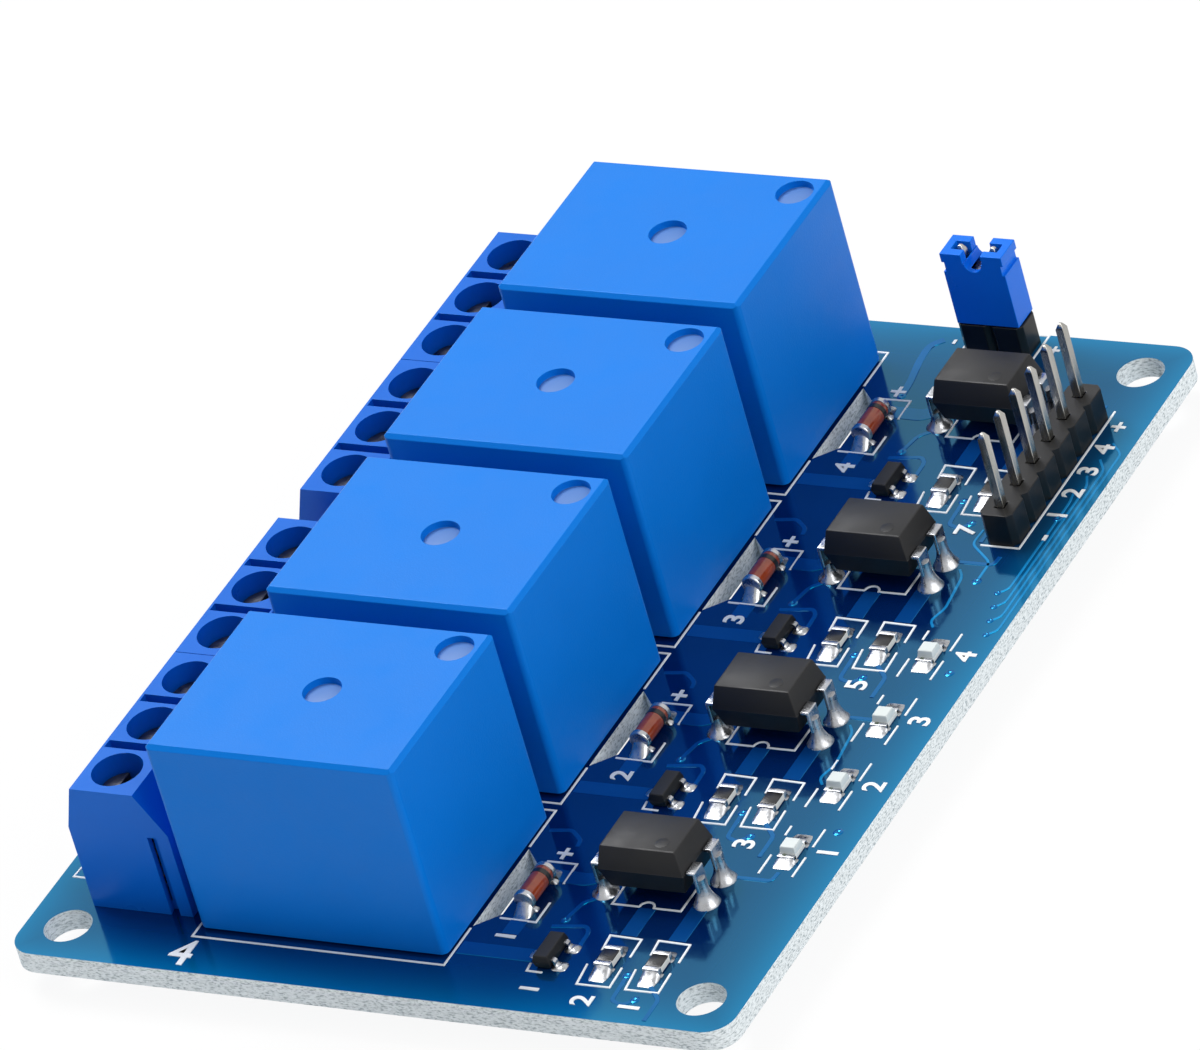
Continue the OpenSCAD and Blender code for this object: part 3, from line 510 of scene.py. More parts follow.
# Painted light: a paler copy of the track finish, for the tracks near the right rim where the mask
# is painted paler too; the copper is the same.
track_painted_lit = lacquer("track_painted_lit", 0x0c70b0, 0x1484c2, **GLAZE)
print_white = lacquer("print_white", 0xdfe3e6, 0xf4f6f7, 0.5, 1.0)
print("finishes:", len(bpy.data.materials))

# %% [markdown]
# ## Finishes on the frame's own solids
# Solids whose shape needs nothing more keep their mesh and only take a finish.

# %% Assign finishes


def dress(nodes, finish):
    """Puts one finish on each of these nodes."""
    for name in nodes:
        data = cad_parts[name].data
        data.materials.clear()
        data.materials.append(finish)


dress(["circuit_board"], laminate)
dress([f"relay_{k}_base" for k in CHANNELS], relay_base_blue)
dress([f"relay_{k}_armature" for k in CHANNELS] + ["relay_yokes"], iron)
dress(["relay_coils"], winding)
dress(["relay_bobbins"], bobbin_white)
dress(["relay_terminals", "terminal_legs"], tin)
dress([f"wire_clamp_{w}" for w in WAYS], brass)
dress(["jumper_clip"], tin)

# %% [markdown]
# ## Relays, terminal blocks and the small mouldings
# The relay covers are the largest thing on the board, and the light on their edges makes
# them look moulded and not cut. The same helper rounds the terminal blocks, the header
# strips, the pins, the jumper cap and the screws, each with its own radius. Two round mould
# marks lie in each cover. They are measured from the corners of its mesh that lie just under
# the top and inside the sides, and a thin disc of paler blue covers the floor of each.

# %% Round the mouldings
for k in CHANNELS:
    soften(f"cover_{k}", f"relay_{k}_cover", 0.22, relay_blue, "board")
    soften(f"block_{k}", f"terminal_{k}_housing", 0.1, terminal_blue, "board")
MARK_DEEP = 0.6
SIDE_BAND = 0.6
CORNER_ZONE = 4.5
shell = Shell()
for k, b in zip(CHANNELS, relay_box):
    bm = merged(f"relay_{k}_cover")
    xyz = np.array([v.co for v in bm.verts]) / MM
    bm.free()
    inside = (np.abs(xyz[:, :2] - middle(b)[:2]) < (b[3:5] - b[:2]) / 2 - SIDE_BAND).all(1)
    rim = xyz[inside & (xyz[:, 2] > b[5] - MARK_DEEP) & (xyz[:, 2] < b[5] - 0.01)]
    in_corner = rim[:, 0] > b[3] - CORNER_ZONE
    for part in (rim[in_corner], rim[~in_corner]):
        x, y = (part[:, :2].min(0) + part[:, :2].max(0)) / 2
        r, z = np.ptp(part[:, 0]) / 2, part[:, 2].min()
        lathe(shell, x, y, [(r - 0.05, z - 0.02), (r - 0.05, z + 0.01), (r - 0.1, z + 0.02)], 40)
marks = shell.build("cover_marks", [mark_blue])
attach(marks, "board")
# The screws take the darkened metal: painted shade of their holes.
for w in WAYS:
    soften(f"clamp_screw_{w}", f"screw_{w}", 0.08, screw_metal_painted_shade, f"screw_{w}")
soften("input_strip", "input_header", 0.06, strip_black, "board")
soften("power_strip", "power_header", 0.06, strip_black, "board")
soften("input_pin_row", "input_pins", 0.05, pin_metal, "board")
soften("power_pin_row", "power_pins", 0.05, pin_metal, "board")
soften("cap", "jumper_cap", 0.1, cap_blue, "jumper")

# %% [markdown]
# ## Solder
# Molten solder climbs the lead and wets the pad, so its surface is hollow: steep at the lead
# and flat at the pad. The profile r = r_lead + (r_pad - r_lead) * (1 - h)^3 turned about the
# lead gives that slope, with h the height as a share of the whole. At the optocouplers the
# solder also shows on top, where it has climbed the flat leads in tall sleeves.

# %% Solder shapes
LEAD_HALF_X, LEAD_HALF_Y = 0.36, 0.42


def fillet(shell, x, y, r_pad, r_lead, z, height, lumps, seed):
    """One hollow cone from the pad at z to the lead at z + height (downwards if negative). A
    wave of share `lumps`, strongest at half height, runs twice round it."""
    h = np.linspace(0, 1, 9)
    r = r_lead + (r_pad - r_lead) * (1 - h) ** 3
    n = 20
    a = np.linspace(0, 2 * np.pi, n, endpoint=False)
    wave = 1 + lumps * np.sin(2 * a + seed)[None, :] * (h * (1 - h) * 3)[:, None]
    p = np.empty((len(h) + 2, n, 3))
    ring = np.r_[r_pad * 0.985, r, r_lead * 0.35]
    rise = np.r_[-0.02 * np.sign(height), h * height, height * 1.01]
    wave = np.vstack([wave[:1], wave, wave[-1:]])
    p[..., 0] = x + ring[:, None] * wave * np.cos(a)
    p[..., 1] = y + ring[:, None] * wave * np.sin(a)
    p[..., 2] = z + rise[:, None]
    shell.grid(p)


def sleeve(shell, x, y, r_pad, climb, seed):
    """Solder drawn up a flat lead: at share h of the climb it reaches half + (r_pad - half) *
    (1 - h)^k from the lead's middle, with a half and a power k of its own along X and Y."""
    h = np.linspace(0, 1, 12)
    reach = LEAD_HALF_X + (r_pad - LEAD_HALF_X) * (1 - h) ** 3.2
    wide = LEAD_HALF_Y + (r_pad - LEAD_HALF_Y) * (1 - h) ** 2.8
    a = np.linspace(0, 2 * np.pi, 20, endpoint=False)
    wave = 1 + 0.07 * np.sin(2 * a + seed)[None] * np.sin(np.pi * h)[:, None]
    p = np.empty((len(h) + 2, len(a), 3))
    reach, wide = np.r_[reach[0], reach, 0.2], np.r_[wide[0], wide, 0.28]
    wave = np.vstack([wave[:1], wave, wave[-1:]])
    p[..., 0] = x + reach[:, None] * wave * np.cos(a)
    p[..., 1] = y + wide[:, None] * wave * np.sin(a)
    p[..., 2] = TOP + climb * np.r_[-0.01, h, 1.02][:, None]
    shell.grid(p)


# %% Solder at the leads
PAD_RING = 0.54
CLIMB_OUTSIDE, CLIMB_INSIDE = 2.1, 1.3
shell = Shell()
top_joints = 0
for i, b in enumerate(joints_box):
    x, y, _ = middle(b)
    r = (b[3] - b[0]) / 2
    fillet(shell, x, y, r, 0.32 * r + 0.12, 0.0, b[2], 0.05, i)
    if b[5] > TOP + 0.5:
        outside = x > middle(opto_box[0])[0]
        sleeve(shell, x, y, r + 0.08, CLIMB_OUTSIDE if outside else CLIMB_INSIDE, i)
        top_joints += 1
    barrel = r - PAD_RING
    lathe(shell, x, y, [(barrel, -0.01), (barrel, TOP - 0.02)], 12)
solder = shell.build("solder_at_leads", [solder_silver], 60)
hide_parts("solder_joints")
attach(solder, "board")
print("joints with solder on top:", top_joints)

# %% [markdown]
# ## Shapes with soft corners
# Small parts are stamped, moulded or sintered, so their corners are soft. A rounded block is
# a stack of rings: each ring is a rectangle with round corners, and near the top and bottom
# the rings draw in along a quarter circle. A drop of solder is the same stack, drawn in all
# the way up.

# %% Rounded blocks and drops


def rings(x, y, half_x, half_y, corner, z, n=4):
    """Rings of round-cornered rectangles. half_x, half_y and corner are arrays, one per ring;
    each corner is a quarter circle of n points about (half - corner) from the middle."""
    turn = np.radians(np.linspace(0, 90, n))
    angle = np.concatenate([turn + q * np.pi / 2 for q in range(4)])
    sx = np.repeat([1, -1, -1, 1], n)
    sy = np.repeat([1, 1, -1, -1], n)
    c = corner[:, None]
    p = np.empty((len(z), 4 * n, 3))
    p[..., 0] = x + sx * (half_x[:, None] - c) + c * np.cos(angle)
    p[..., 1] = y + sy * (half_y[:, None] - c) + c * np.sin(angle)
    p[..., 2] = np.asarray(z)[:, None]
    return p


def block(shell, low, high, edge=0.05, corner=None, mark=0):
    """A block between two corners in mm, every edge rounded by `edge`."""
    low, high = np.asarray(low, float), np.asarray(high, float)
    x, y = (low[:2] + high[:2]) / 2
    half = (high - low) / 2
    edge = min(edge, 0.45 * half.min() * 2)
    corner = edge if corner is None else corner
    t = np.radians(np.linspace(0, 90, 4))
    inset = np.r_[edge * (1 - np.sin(t)), edge * (1 - np.cos(t))]
    z = np.r_[low[2] + edge * (1 - np.cos(t)), high[2] - edge * (1 - np.sin(t))]
    shell.grid(rings(x, y, half[0] - inset, half[1] - inset,
                     np.maximum(corner - inset, 0.004), z), mark=mark)


def drop(shell, low, high, z, height, power=2.2):
    """A low pillow over a rectangle: at ring s (0 to 1) it has drawn in by s and has risen to
    height * (1 - (1 - s) ** power)."""
    low, high = np.asarray(low, float), np.asarray(high, float)
    x, y = (low + high) / 2
    half = (high - low) / 2
    s = np.linspace(0, 0.93, 7)
    half_x, half_y = half[0] * (1 - s), half[1] * (1 - s)
    corner = np.minimum(half_x, half_y) * 0.6
    rise = z + height * (1 - (1 - s) ** power)
    foot = z - SUNK * np.sign(height)
    shell.grid(rings(x, y, np.r_[half_x[0], half_x], np.r_[half_y[0], half_y],
                     np.r_[corner[0], corner], np.r_[foot, rise]))


def wedge(shell, x, y, width, length, height, ahead, power=1.9):
    """Solder between a part's end at (x, y) and its pad's edge, `length` on along (ahead).
    At share v of the length it is height * (1 - v) ** power high, and it rounds off to both
    sides as (1 - u^4). The rings are closed under the board's face."""
    v = np.linspace(0, 1, 9)[:, None]
    u = np.linspace(-1, 1, 9)[None, :]
    across = u * width / 2 * (1 - 0.22 * v ** 3)
    high = TOP + height * (1 - v) ** power * (1 - 0.75 * u ** 4) + 0.03 * (1 - u ** 4)
    along = v * length + 0 * u
    n = len(v)
    p = np.empty((n, 11, 3))
    p[:, :9, 0], p[:, :9, 1], p[:, :9, 2] = across, along, high
    p[:, 9] = np.c_[across[:, -1], along[:, 0], np.full(n, TOP - 0.02)]
    p[:, 10] = np.c_[across[:, 0], along[:, 0], np.full(n, TOP - 0.02)]
    dx, dy = ahead
    placed = p.copy()
    placed[..., 0] = x + p[..., 1] * dx - p[..., 0] * dy
    placed[..., 1] = y + p[..., 1] * dy + p[..., 0] * dx
    shell.grid(placed)


# %% [markdown]
# ## Diodes
# A glass diode is a short tube with a tinned cap on each end and a painted band round the
# glass at its cathode. The profile of half a section is turned about the tube's axis. Each
# stretch of the profile is a shell of its own, so glass, band and caps stay apart.

# %% Glass diodes
glass_red = Finish("diode_glass", 0.12, Specular_IOR_Level=0.7)
glass_red.colour(glass_red.mix(glass_red.noise(0.9, 3), rgb(0x6a1e10), rgb(0xb2502c)))
glass_red.bump(glass_red.noise(0.5, 2), 0.003)
band_black = moulded("band_black", 0x0c0c0e, 0x1a1a1c, 0.3, 0.1, 0.002)

diodes = solids("flyback_diodes")
shell = Shell()
joint = Shell()
cap, bend = 0.42, 0.12
t = np.radians(np.linspace(0, 90, 5))
for b in diodes:
    x, y, z = middle(b)
    r = (b[3] - b[0]) / 2
    for side in (-1, 1):
        end = y + side * (b[4] - b[1]) / 2
        profile = np.r_[[[0.02, end]],
                        np.c_[r - bend * (1 - np.sin(t)), end - side * bend * (1 - np.cos(t))],
                        [[r, end - side * (cap - 0.03)], [r - 0.05, end - side * cap]]]
        lathe(shell, x, z, profile, 28, 1, "y")
        wedge(joint, x, end, 1.35, 0.95, 0.75, (0, side), 1.5)
        near, far = sorted((end, end - side * 0.55))
        drop(joint, (x - 0.85, near), (x + 0.85, far), TOP, 0.34)
    s = np.linspace(-1, 1, 9)
    glass_r = r - 0.07 + 0.03 * (1 - s ** 2)
    body = (b[4] - b[1]) / 2 - cap + 0.02
    lathe(shell, x, z, np.c_[glass_r, y + s * body], 28, 0, "y")
    band = np.array([[r - 0.06, 0.62], [r - 0.015, 0.65], [r - 0.015, 1.02], [r - 0.06, 1.05]])
    lathe(shell, x, z, band + [0, y], 28, 2, "y")
tubes = shell.build("glass_diodes", [glass_red.mat, tin, band_black])
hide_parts("flyback_diodes")
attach(tubes, "board")

# %% [markdown]
# ## Transistors and chip resistors
# A small transistor is a moulded body whose sides slope to the mould's parting line, with
# three bent leads. A chip resistor is a ceramic block with a black glaze on top and metal
# round its ends, which the solder wets.

# %% Transistors
lead_w = 0.4
transistors = solids("transistors")
shell = Shell()
for b in transistors:
    x, y, _ = middle(b)
    low_z, high_z = b[2], b[5]
    half_l, half_w = (b[4] - b[1]) / 2, 0.65
    s = np.array([0, 0.04, 0.48, 0.52, 0.96, 1.0])
    draw = np.array([0.16, 0.12, 0.0, 0.0, 0.12, 0.18])
    z = low_z + s * (high_z - low_z)
    shell.grid(rings(x, y, half_w - draw, half_l - draw, np.full(6, 0.06), z))
    for side, off in ((-1, 0), (1, -0.95), (1, 0.95)):
        out = (b[3] - b[0]) / 2
        path = np.array([[half_w - 0.1, 0.5], [half_w + 0.12, 0.5], [half_w + 0.2, 0.42],
                         [half_w + 0.24, 0.16], [half_w + 0.32, 0.08], [out - 0.02, 0.08]])
        ahead = np.gradient(path, axis=0)
        ahead /= np.linalg.norm(ahead, axis=1)[:, None]
        up = np.stack([-ahead[:, 1], ahead[:, 0]], 1) * 0.075
        p = np.empty((len(path), 4, 3))
        for j, (s_side, s_up) in enumerate(((-1, -1), (1, -1), (1, 1), (-1, 1))):
            edge = path + up * s_up
            edge_y = np.full(len(path), y + off + s_side * lead_w / 2)
            p[:, j] = np.c_[x + side * edge[:, 0], edge_y, low_z + edge[:, 1]]
        shell.grid(p, mark=1)
        pad_x = x + side * (out - 0.12)
        drop(joint, (pad_x - 0.55, y + off - 0.48), (pad_x + 0.55, y + off + 0.48), TOP, 0.17)
        wedge(joint, x + side * (out - 0.25), y + off, 0.7, 0.55, 0.3, (side, 0))
bodies = shell.build("transistor_bodies", [epoxy_black, tin], 25)
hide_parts("transistors")
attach(bodies, "board")

# %% Chip resistors
chip_black = moulded("chip_glaze", 0x0b0b0d, 0x19191b, 0.22, 0.2, 0.002)
ceramic = moulded("ceramic_white", 0xd9d6cc, 0xefece4, 0.5, 0.1, 0.003)
chips = solids("chip_resistors")
shell = Shell()
for b in chips:
    low, high = b[:3], b[3:]
    end = 0.38
    block(shell, low + [0.03, 0.1, 0.03], high - [0.03, 0.1, 0.05], 0.03, mark=1)
    block(shell, [low[0] + 0.03, low[1] + end + 0.02, high[2] - 0.09],
          [high[0] - 0.03, high[1] - end - 0.02, high[2] - 0.012], 0.025, 0.1)
    x, y, _ = middle(b)
    for side in (-1, 1):
        tip = y + side * (high[1] - low[1]) / 2
        ends = sorted((tip, tip - side * end))
        block(shell, [low[0], ends[0], low[2]], [high[0], ends[1], high[2]], 0.06, mark=2)
        length = 1.15 if side < 0 else 0.62
        wedge(joint, x, tip, 1.42, length, 0.46, (0, side), 1.5)
        drop(joint, (x - 0.74, ends[0] - 0.05), (x + 0.74, ends[1] + 0.05), TOP, 0.16)
chip_bodies = shell.build("chip_bodies", [chip_black, ceramic, tin], 30)
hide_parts("chip_resistors")
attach(chip_bodies, "board")

# %% [markdown]
# ## Lamps
# Each lamp is a white base with a tinned half-round at both ends, and a clear block moulded
# over the crystal. The crystal and its cup are dark specks under the clear top.

# %% Indicator lamps
lamp_clear = moulded("lamp_clear", 0xc9d2d2, 0xe6ecea, 0.16, 0.5, 0.002, Specular_IOR_Level=0.6)
lamp_base = moulded("lamp_base", 0xe2e2dc, 0xf2f2ee, 0.5, 0.3, 0.002)
speck = moulded("crystal_speck", 0x23302a, 0x55604a, 0.3, 0.2, 0.002)
lamps = solids("indicator_leds")
shell = Shell()
for b in lamps:
    low, high = b[:3], b[3:]
    x, y, _ = middle(b)
    base_top = low[2] + 0.32
    block(shell, low + [0, 0.1, 0], [high[0], high[1] - 0.1, base_top], 0.03, mark=1)
    t = np.array([0.0, 0.06, 0.9, 0.985, 1.0])
    draw = np.array([0.0, 0.0, 0.12, 0.17, 0.24])
    shell.grid(rings(x, y, 0.6 - draw * 0.5, 0.64 - draw, np.full(5, 0.05),
                     base_top - 0.01 + t * (high[2] - base_top + 0.01)))
    block(shell, [x - 0.16, y - 0.2, high[2] - 0.05], [x + 0.16, y + 0.12, high[2] - 0.004],
          0.012, mark=3)
    block(shell, [x - 0.42, y + 0.24, high[2] - 0.05], [x - 0.2, y + 0.4, high[2] - 0.004],
          0.012, mark=3)
    for side in (-1, 1):
        tip = y + side * (high[1] - low[1]) / 2
        ends = sorted((tip, tip - side * 0.34))
        block(shell, [low[0], ends[0], low[2]], [high[0], ends[1], base_top + 0.03], 0.04, mark=2)
        block(shell, [x - 0.3, ends[0] + 0.08, base_top],
              [x - 0.02, ends[1] - 0.04, base_top + 0.05], 0.01, mark=3)
        wedge(joint, x, tip, 1.5, 0.85, 0.3, (0, side), 1.6)
        drop(joint, (x - 0.78, ends[0] - 0.05), (x + 0.78, ends[1] + 0.05), TOP, 0.14)
lamp_bodies = shell.build("lamp_bodies", [lamp_clear, lamp_base, tin, speck], 30)
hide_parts("indicator_leds")
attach(lamp_bodies, "board")

# %% [markdown]
# The solder at all the small parts was collected on the way. It becomes one piece.

# %% Solder of the small parts
mounds = joint.build("surface_solder", [solder_silver], 60)
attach(mounds, "board")

# %% [markdown]
# ## Optocouplers
# The mould for these bodies opens at half height, so both halves draw in from the parting
# line. The leads are stamped from sheet: wide at the shoulder, narrow where they enter the
# board. They keep the frame's shape with rounded edges and a bright tin skin. A moulded dot
# on each body marks its first lead.

# %% Optocoupler bodies and leads
soften("lead_rows", "optocoupler_leads", 0.09, tin, "board")
shell = Shell()
DRAFT = 0.42
for b in opto_box:
    x, y, z = middle(b)
    half = (b[3:] - b[:3]) / 2
    share = np.array([-1, -0.97, -0.94, -0.03, -0.01, 0.01, 0.03, 0.94, 0.98, 1.0])
    draw = DRAFT * np.abs(share) + np.array([0.1, 0.03, 0, 0, 0, 0.02, 0.02, 0, 0.03, 0.09])
    shell.grid(rings(x, y, half[0] - draw, half[1] - draw, np.full(10, 0.1), z + share * half[2]))
optos = shell.build("optocoupler_bodies", [epoxy_black], 25)
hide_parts("optocouplers")
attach(optos, "board")
shell = Shell()
for b in opto_box:
    dot_x, dot_y, dot_z = b[3] - 1.75, b[1] + 1.3, b[5]
    rim = [(0.5, dot_z - 0.03), (0.5, dot_z + 0.008), (0.46, dot_z + 0.014)]
    lathe(shell, dot_x, dot_y, rim, 32)
dots = shell.build("lead_dots", [strip_black])
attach(dots, "board")

# %% [markdown]
# ## Copper under the mask
# The copper shows through the mask as slightly raised bands in a lighter blue. Its thickness
# is one ounce per square foot, about 0.035 mm. Each channel repeats the same tracks, so they
# are written once, about the channel's own middle line, and moved along the board.

# %% Tracks on the top
COPPER = 0.035
PRINT = 0.05
LOWER = 0.006
SIGNAL, BAND = 0.35, 1.3
tracks = Shell()
opto = opto_box[0]
opto_y = middle(opto)[1] - channel_y[0]
leads = solids("optocoupler_leads")
lead_x = (middle(leads[2])[0], middle(leads[0])[0])
chip_x = (middle(chips[0])[0], middle(chips[1])[0])
chip_y = middle(chips[0])[1] - channel_y[0]
diode_x, diode_y = middle(diodes[0])[0], middle(diodes[0])[1] - channel_y[0]
trans_x = middle(transistors[0])[0]
lamp_x = middle(lamps[0])[0]
lamp_row = middle(lamps[3])[1]
signal_paths = [
    [(trans_x - 1.55, -3.3), (12.72, -2.91), (13.16, -3.48), (13.22, -5.38)],
    [(18.0, -7.3), (18.1, -9.9), (19.06, -10.25), (19.7, -9.6)],
    [(lead_x[1] + 0.6, 3.59), (lamp_x - 0.1, 3.6), (lamp_x, 4.52)],
    [(chip_x[1], chip_y - 1.6), (chip_x[1] + 1.6, chip_y - 3.2), (chip_x[1] + 1.6, chip_y - 5.4)],
    [(13.2, 0.9), (11.3, -0.6), (10.9, -2.4)],
]
band_paths = [
    [(4.9, -6.4), (trans_x - 1.2, -6.4)],
    [(chip_x[0], -0.5), (chip_x[0], -3.4)],
    [(chip_x[1], 0.4), (chip_x[1], -3.4)],
    [(diode_x + 0.2, 1.8), (10.6, 1.7), (11.6, 2.6)],
    [(diode_x, diode_y - 2.2), (diode_x, diode_y - 4.2)],
]
for y in channel_y:
    for path in signal_paths:
        strip(tracks, rounded_path(np.array(path) + [0, y], 0.35), SIGNAL, COPPER)
    for path in band_paths:
        strip(tracks, rounded_path(np.array(path) + [0, y], 0.5), BAND, COPPER - LOWER)
slot_path = np.array([(5.23, 6.27), (6.83, 6.52), (7.94, 5.6), (8.03, 4.9)])
for y in channel_y[:3]:
    strip(tracks, rounded_path(slot_path + [0, y], 0.35), SIGNAL, COPPER)

# %% [markdown]
# Thin tracks run side by side along the right edge, from the header past the lamps, each one
# further in than the last. A few single tracks stand once on the board.

# %% Tracks along the right edge
header = whole("input_header")
edge_x = board[3]
# These tracks take mark 1, the paler track finish: painted light near the rim.
for i in range(4):
    x = edge_x - 0.55 - 0.42 * i
    start = header[4] - 4.2 - 1.9 * i
    end = lamp_row + 3.4 + 1.5 * i
    strip(tracks, rounded_path([(x - 1.1 + 0.3 * i, start + 1.1), (x, start), (x, end),
                                (x - 0.6, end - 0.6)], 0.4), 0.2, COPPER, mark=1)
lamp_path = np.array([(21.18, 20.2), (21.73, 19.45), (22.1, 15.94), (21.67, 14.5), (22.2, 13.8)])
for y in channel_y[:2]:
    strip(tracks, rounded_path(lamp_path + [0, y], 0.4), 0.22, COPPER, mark=1)
strip(tracks, rounded_path([(20.91, 16.03), (20.8, 14.45), (23.0, 12.63), (23.0, 10.64)], 0.5),
      0.22, COPPER, mark=1)
strip(tracks, rounded_path([(8.18, 36.48), (7.34, 35.78), (7.4, 34.0), (7.86, 31.4),
                            (7.97, 29.94)], 0.6), 0.6, COPPER)

# %% [markdown]
# Underneath, the mains side has wide bands from the relay's contacts to the clamps. The gap
# between them and the coil side is the board's insulation, so no band crosses it.

# %% Tracks underneath
legs = solids("terminal_legs")
leg_x = legs[0][0] + 0.4
contact_x = joints_box[3][0] + 1.15
common_x = middle(joints_box[0])[0]
for k, y in enumerate(channel_y):
    ways = [middle(b)[1] for b in legs[3 * k:3 * k + 3]]
    for (from_x, from_y), way in (((contact_x, y - 6), ways[0]), ((common_x, y), ways[1]),
                                  ((contact_x, y + 6), ways[2])):
        strip(tracks, rounded_path([(from_x, from_y), (contact_x - 1.6, from_y),
                                    (leg_x + 2.2, way), (leg_x, way)], 0.8),
              2.6, -COPPER, 0.0)
    strip(tracks, rounded_path([(joints_box[1][0] + 1.15, y + 6), (5.0, y + 6), (diode_x, y + 3.4)],
                               0.8), 1.0, -COPPER * 0.9, 0.0)
    strip(tracks, rounded_path([(joints_box[1][0] + 1.15, y - 6), (6.2, y - 6),
                                (trans_x - 2.4, y - 6.2)], 0.8), 1.0, -COPPER, 0.0)
    in_y, out_y = y + opto_y - 1.27, y + opto_y + 1.27
    strip(tracks, rounded_path([(lead_x[0], in_y), (10.0, in_y), (8.9, y + opto_y - 2.4),
                                (8.9, y - 5.2)], 0.6), 0.6, -COPPER * 0.8, 0.0)
    run = [(lead_x[1], out_y), (lead_x[1] + 1.4, out_y)]
    if k < 2:
        run = rounded_path([(lead_x[1], out_y), (21.6, out_y), (21.6 + 0.4 * k, y + opto_y + 2.5),
                            (21.6 + 0.4 * k, 14.0)], 0.4)
    strip(tracks, run, 0.4, -COPPER, 0.0)
copper = tracks.build("copper_under_mask", [track_blue, track_painted_lit])
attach(copper, "board")

# %% [markdown]
# ## Vias
# A via is a small plated hole that carries a track to the other face. The mask covers it, and
# a ring with a dimple is left.

# %% Plated holes under the mask
LAST_Y = 34
vias = Shell()


def via(x, y, r=0.36):
    """A low ring with a dimple: height rises to the rim and falls to the middle."""
    s = np.linspace(0, 1, 7)
    h = 0.05 * np.sin(np.pi * s)
    lathe(vias, x, y, np.r_[[[r, TOP - 0.01]], np.c_[r * (1 - 0.92 * s), TOP + 0.004 + h]], 16)


for y in channel_y:
    for x, off in ((18.0, -7.3), (19.7, -9.6), (10.9, -2.5), (lamp_x + 2.2, 9.2)):
        under_header = header[0] < x < header[3] and header[1] < y + off < header[4]
        if y + off < LAST_Y and not under_header:
            via(x, y + off)
for x, y in ((23.0, 10.5), (7.97, 29.8)):
    via(x, y)
for i in range(4):
    via(edge_x - 1.15 - 0.42 * i, lamp_row + 2.8 + 1.5 * i, 0.26)
via_rings = vias.build("vias", [track_blue])
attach(via_rings, "board")

# %% [markdown]
# ## Printed lines
# White ink marks where each part goes. The screen that lays the ink gives lines of one
# width, so they are strips of the same profile, a little higher than the copper they cross.

# %% Outlines of the parts
LINE = 0.19
ink = Shell()
cover = relay_box[0]
relay_left, relay_right = cover[0] - 0.28, cover[3] + 0.1
lines = [
    [(relay_right, -4.4), (relay_right, -8.35), (relay_left, -8.35), (relay_left, 8.3),
     (relay_right, 8.3), (relay_right, 4.35)],
    [(diode_x - 1.5, -3.05), (diode_x + 1.25, -3.1), (diode_x + 1.25, -1.0)],
    [(diode_x + 1.25, 1.0), (diode_x + 1.2, 3.14), (diode_x - 1.06, 3.12)],
    [(trans_x - 1.15, -7.18), (trans_x - 1.07, -7.95), (trans_x + 0.13, -7.98)],
]
for x in chip_x:
    lines += [[(x - 1.45, chip_y - 0.5), (x - 1.22, chip_y - 2.56), (x + 1.25, chip_y - 2.55),
               (x + 1.15, chip_y - 0.5)],
              [(x - 1.12, chip_y + 1.03), (x - 1.27, chip_y + 2.58), (x + 1.12, chip_y + 2.5),
               (x + 1.2, chip_y + 0.6)]]
left, right = opto[0] + 0.48, opto[3] - 0.85
front = opto[1] - channel_y[0] - 0.1
notch = arc((left + right) / 2, front, 0.55, 180, 0, 9)
lines += [np.r_[[(left, front + 1.9), (left, front)], notch,
                [(right, front), (right + 0.04, front + 2.8)]]]
for y in channel_y:
    for path in lines:
        strip(ink, np.array(path) + [0, y], LINE, PRINT)

print("lines for each channel:", len(lines))

# %% [markdown]
# The lamps, the header, the front corner and the jumper have outlines of their own, because
# they do not repeat from one channel to the next.

# %% Lines that stand once, and the marks of the lamps
lamp_y = [middle(b)[1] for b in lamps]
for y in lamp_y:
    for off, a, b in ((-1.38, -2.5, -0.5), (-1.38, 1.6, 2.6), (1.15, -2.5, -0.4), (1.15, 0.7, 2.6)):
        strip(ink, [(lamp_x + off, y + a), (lamp_x + off, y + b)], LINE, PRINT)
strip(ink, [(header[0] - 0.3, header[1] - 0.12), (header[3] + 0.14, header[1] - 0.12),
            (header[3] + 0.14, header[4] + 0.4)], LINE, PRINT)
first_block = whole("terminal_1_housing")
corner_x, corner_y = first_block[0] - 3.1, first_block[1] + 2.7
strip(ink, [(corner_x + 0.1, corner_y + 1.3), (corner_x, corner_y), (corner_x + 1.6, corner_y)],
      LINE, PRINT)
power = whole("power_header")
strip(ink, [(power[0] - 0.3, power[1] - 0.3), (power[3] + 0.3, power[1] - 0.3),
            (power[3] + 0.3, power[4] + 0.3), (power[0] - 0.3, power[4] + 0.3)], LINE, PRINT,
      closed=True)
outlines = ink.build("printed_lines", [print_white])
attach(outlines, "board")

# %% [markdown]
# ## Printed numbers
# Plain numbers name the channels and the small parts, and a plus and a minus mark the
# supply. They are set as type, turned into a mesh, and joined to one thin object.

# %% Numbers
signs = []


def number(text, x, y, size, along_y=True):
    """Lays a sign centred on (x, y) mm; along_y turns it to be read from the right side."""
    curve = bpy.data.curves.new("sign", "FONT")
    curve.body = str(text)
    curve.size = size * MM
    curve.extrude = PRINT / 2 * MM
    curve.align_x = curve.align_y = "CENTER"
    curve.offset = 0.00004
    holder = bpy.data.objects.new("sign", curve)
    bpy.context.scene.collection.objects.link(holder)
    bpy.context.view_layer.update()
    mesh = bpy.data.meshes.new_from_object(holder)
    bpy.data.objects.remove(holder)
    turn = Matrix.Rotation(math.radians(90 if along_y else 0), 4, "Z")
    mesh.transform(Matrix.Translation(Vector((x, y, TOP + PRINT / 2)) * MM) @ turn)
    signs.append(mesh)


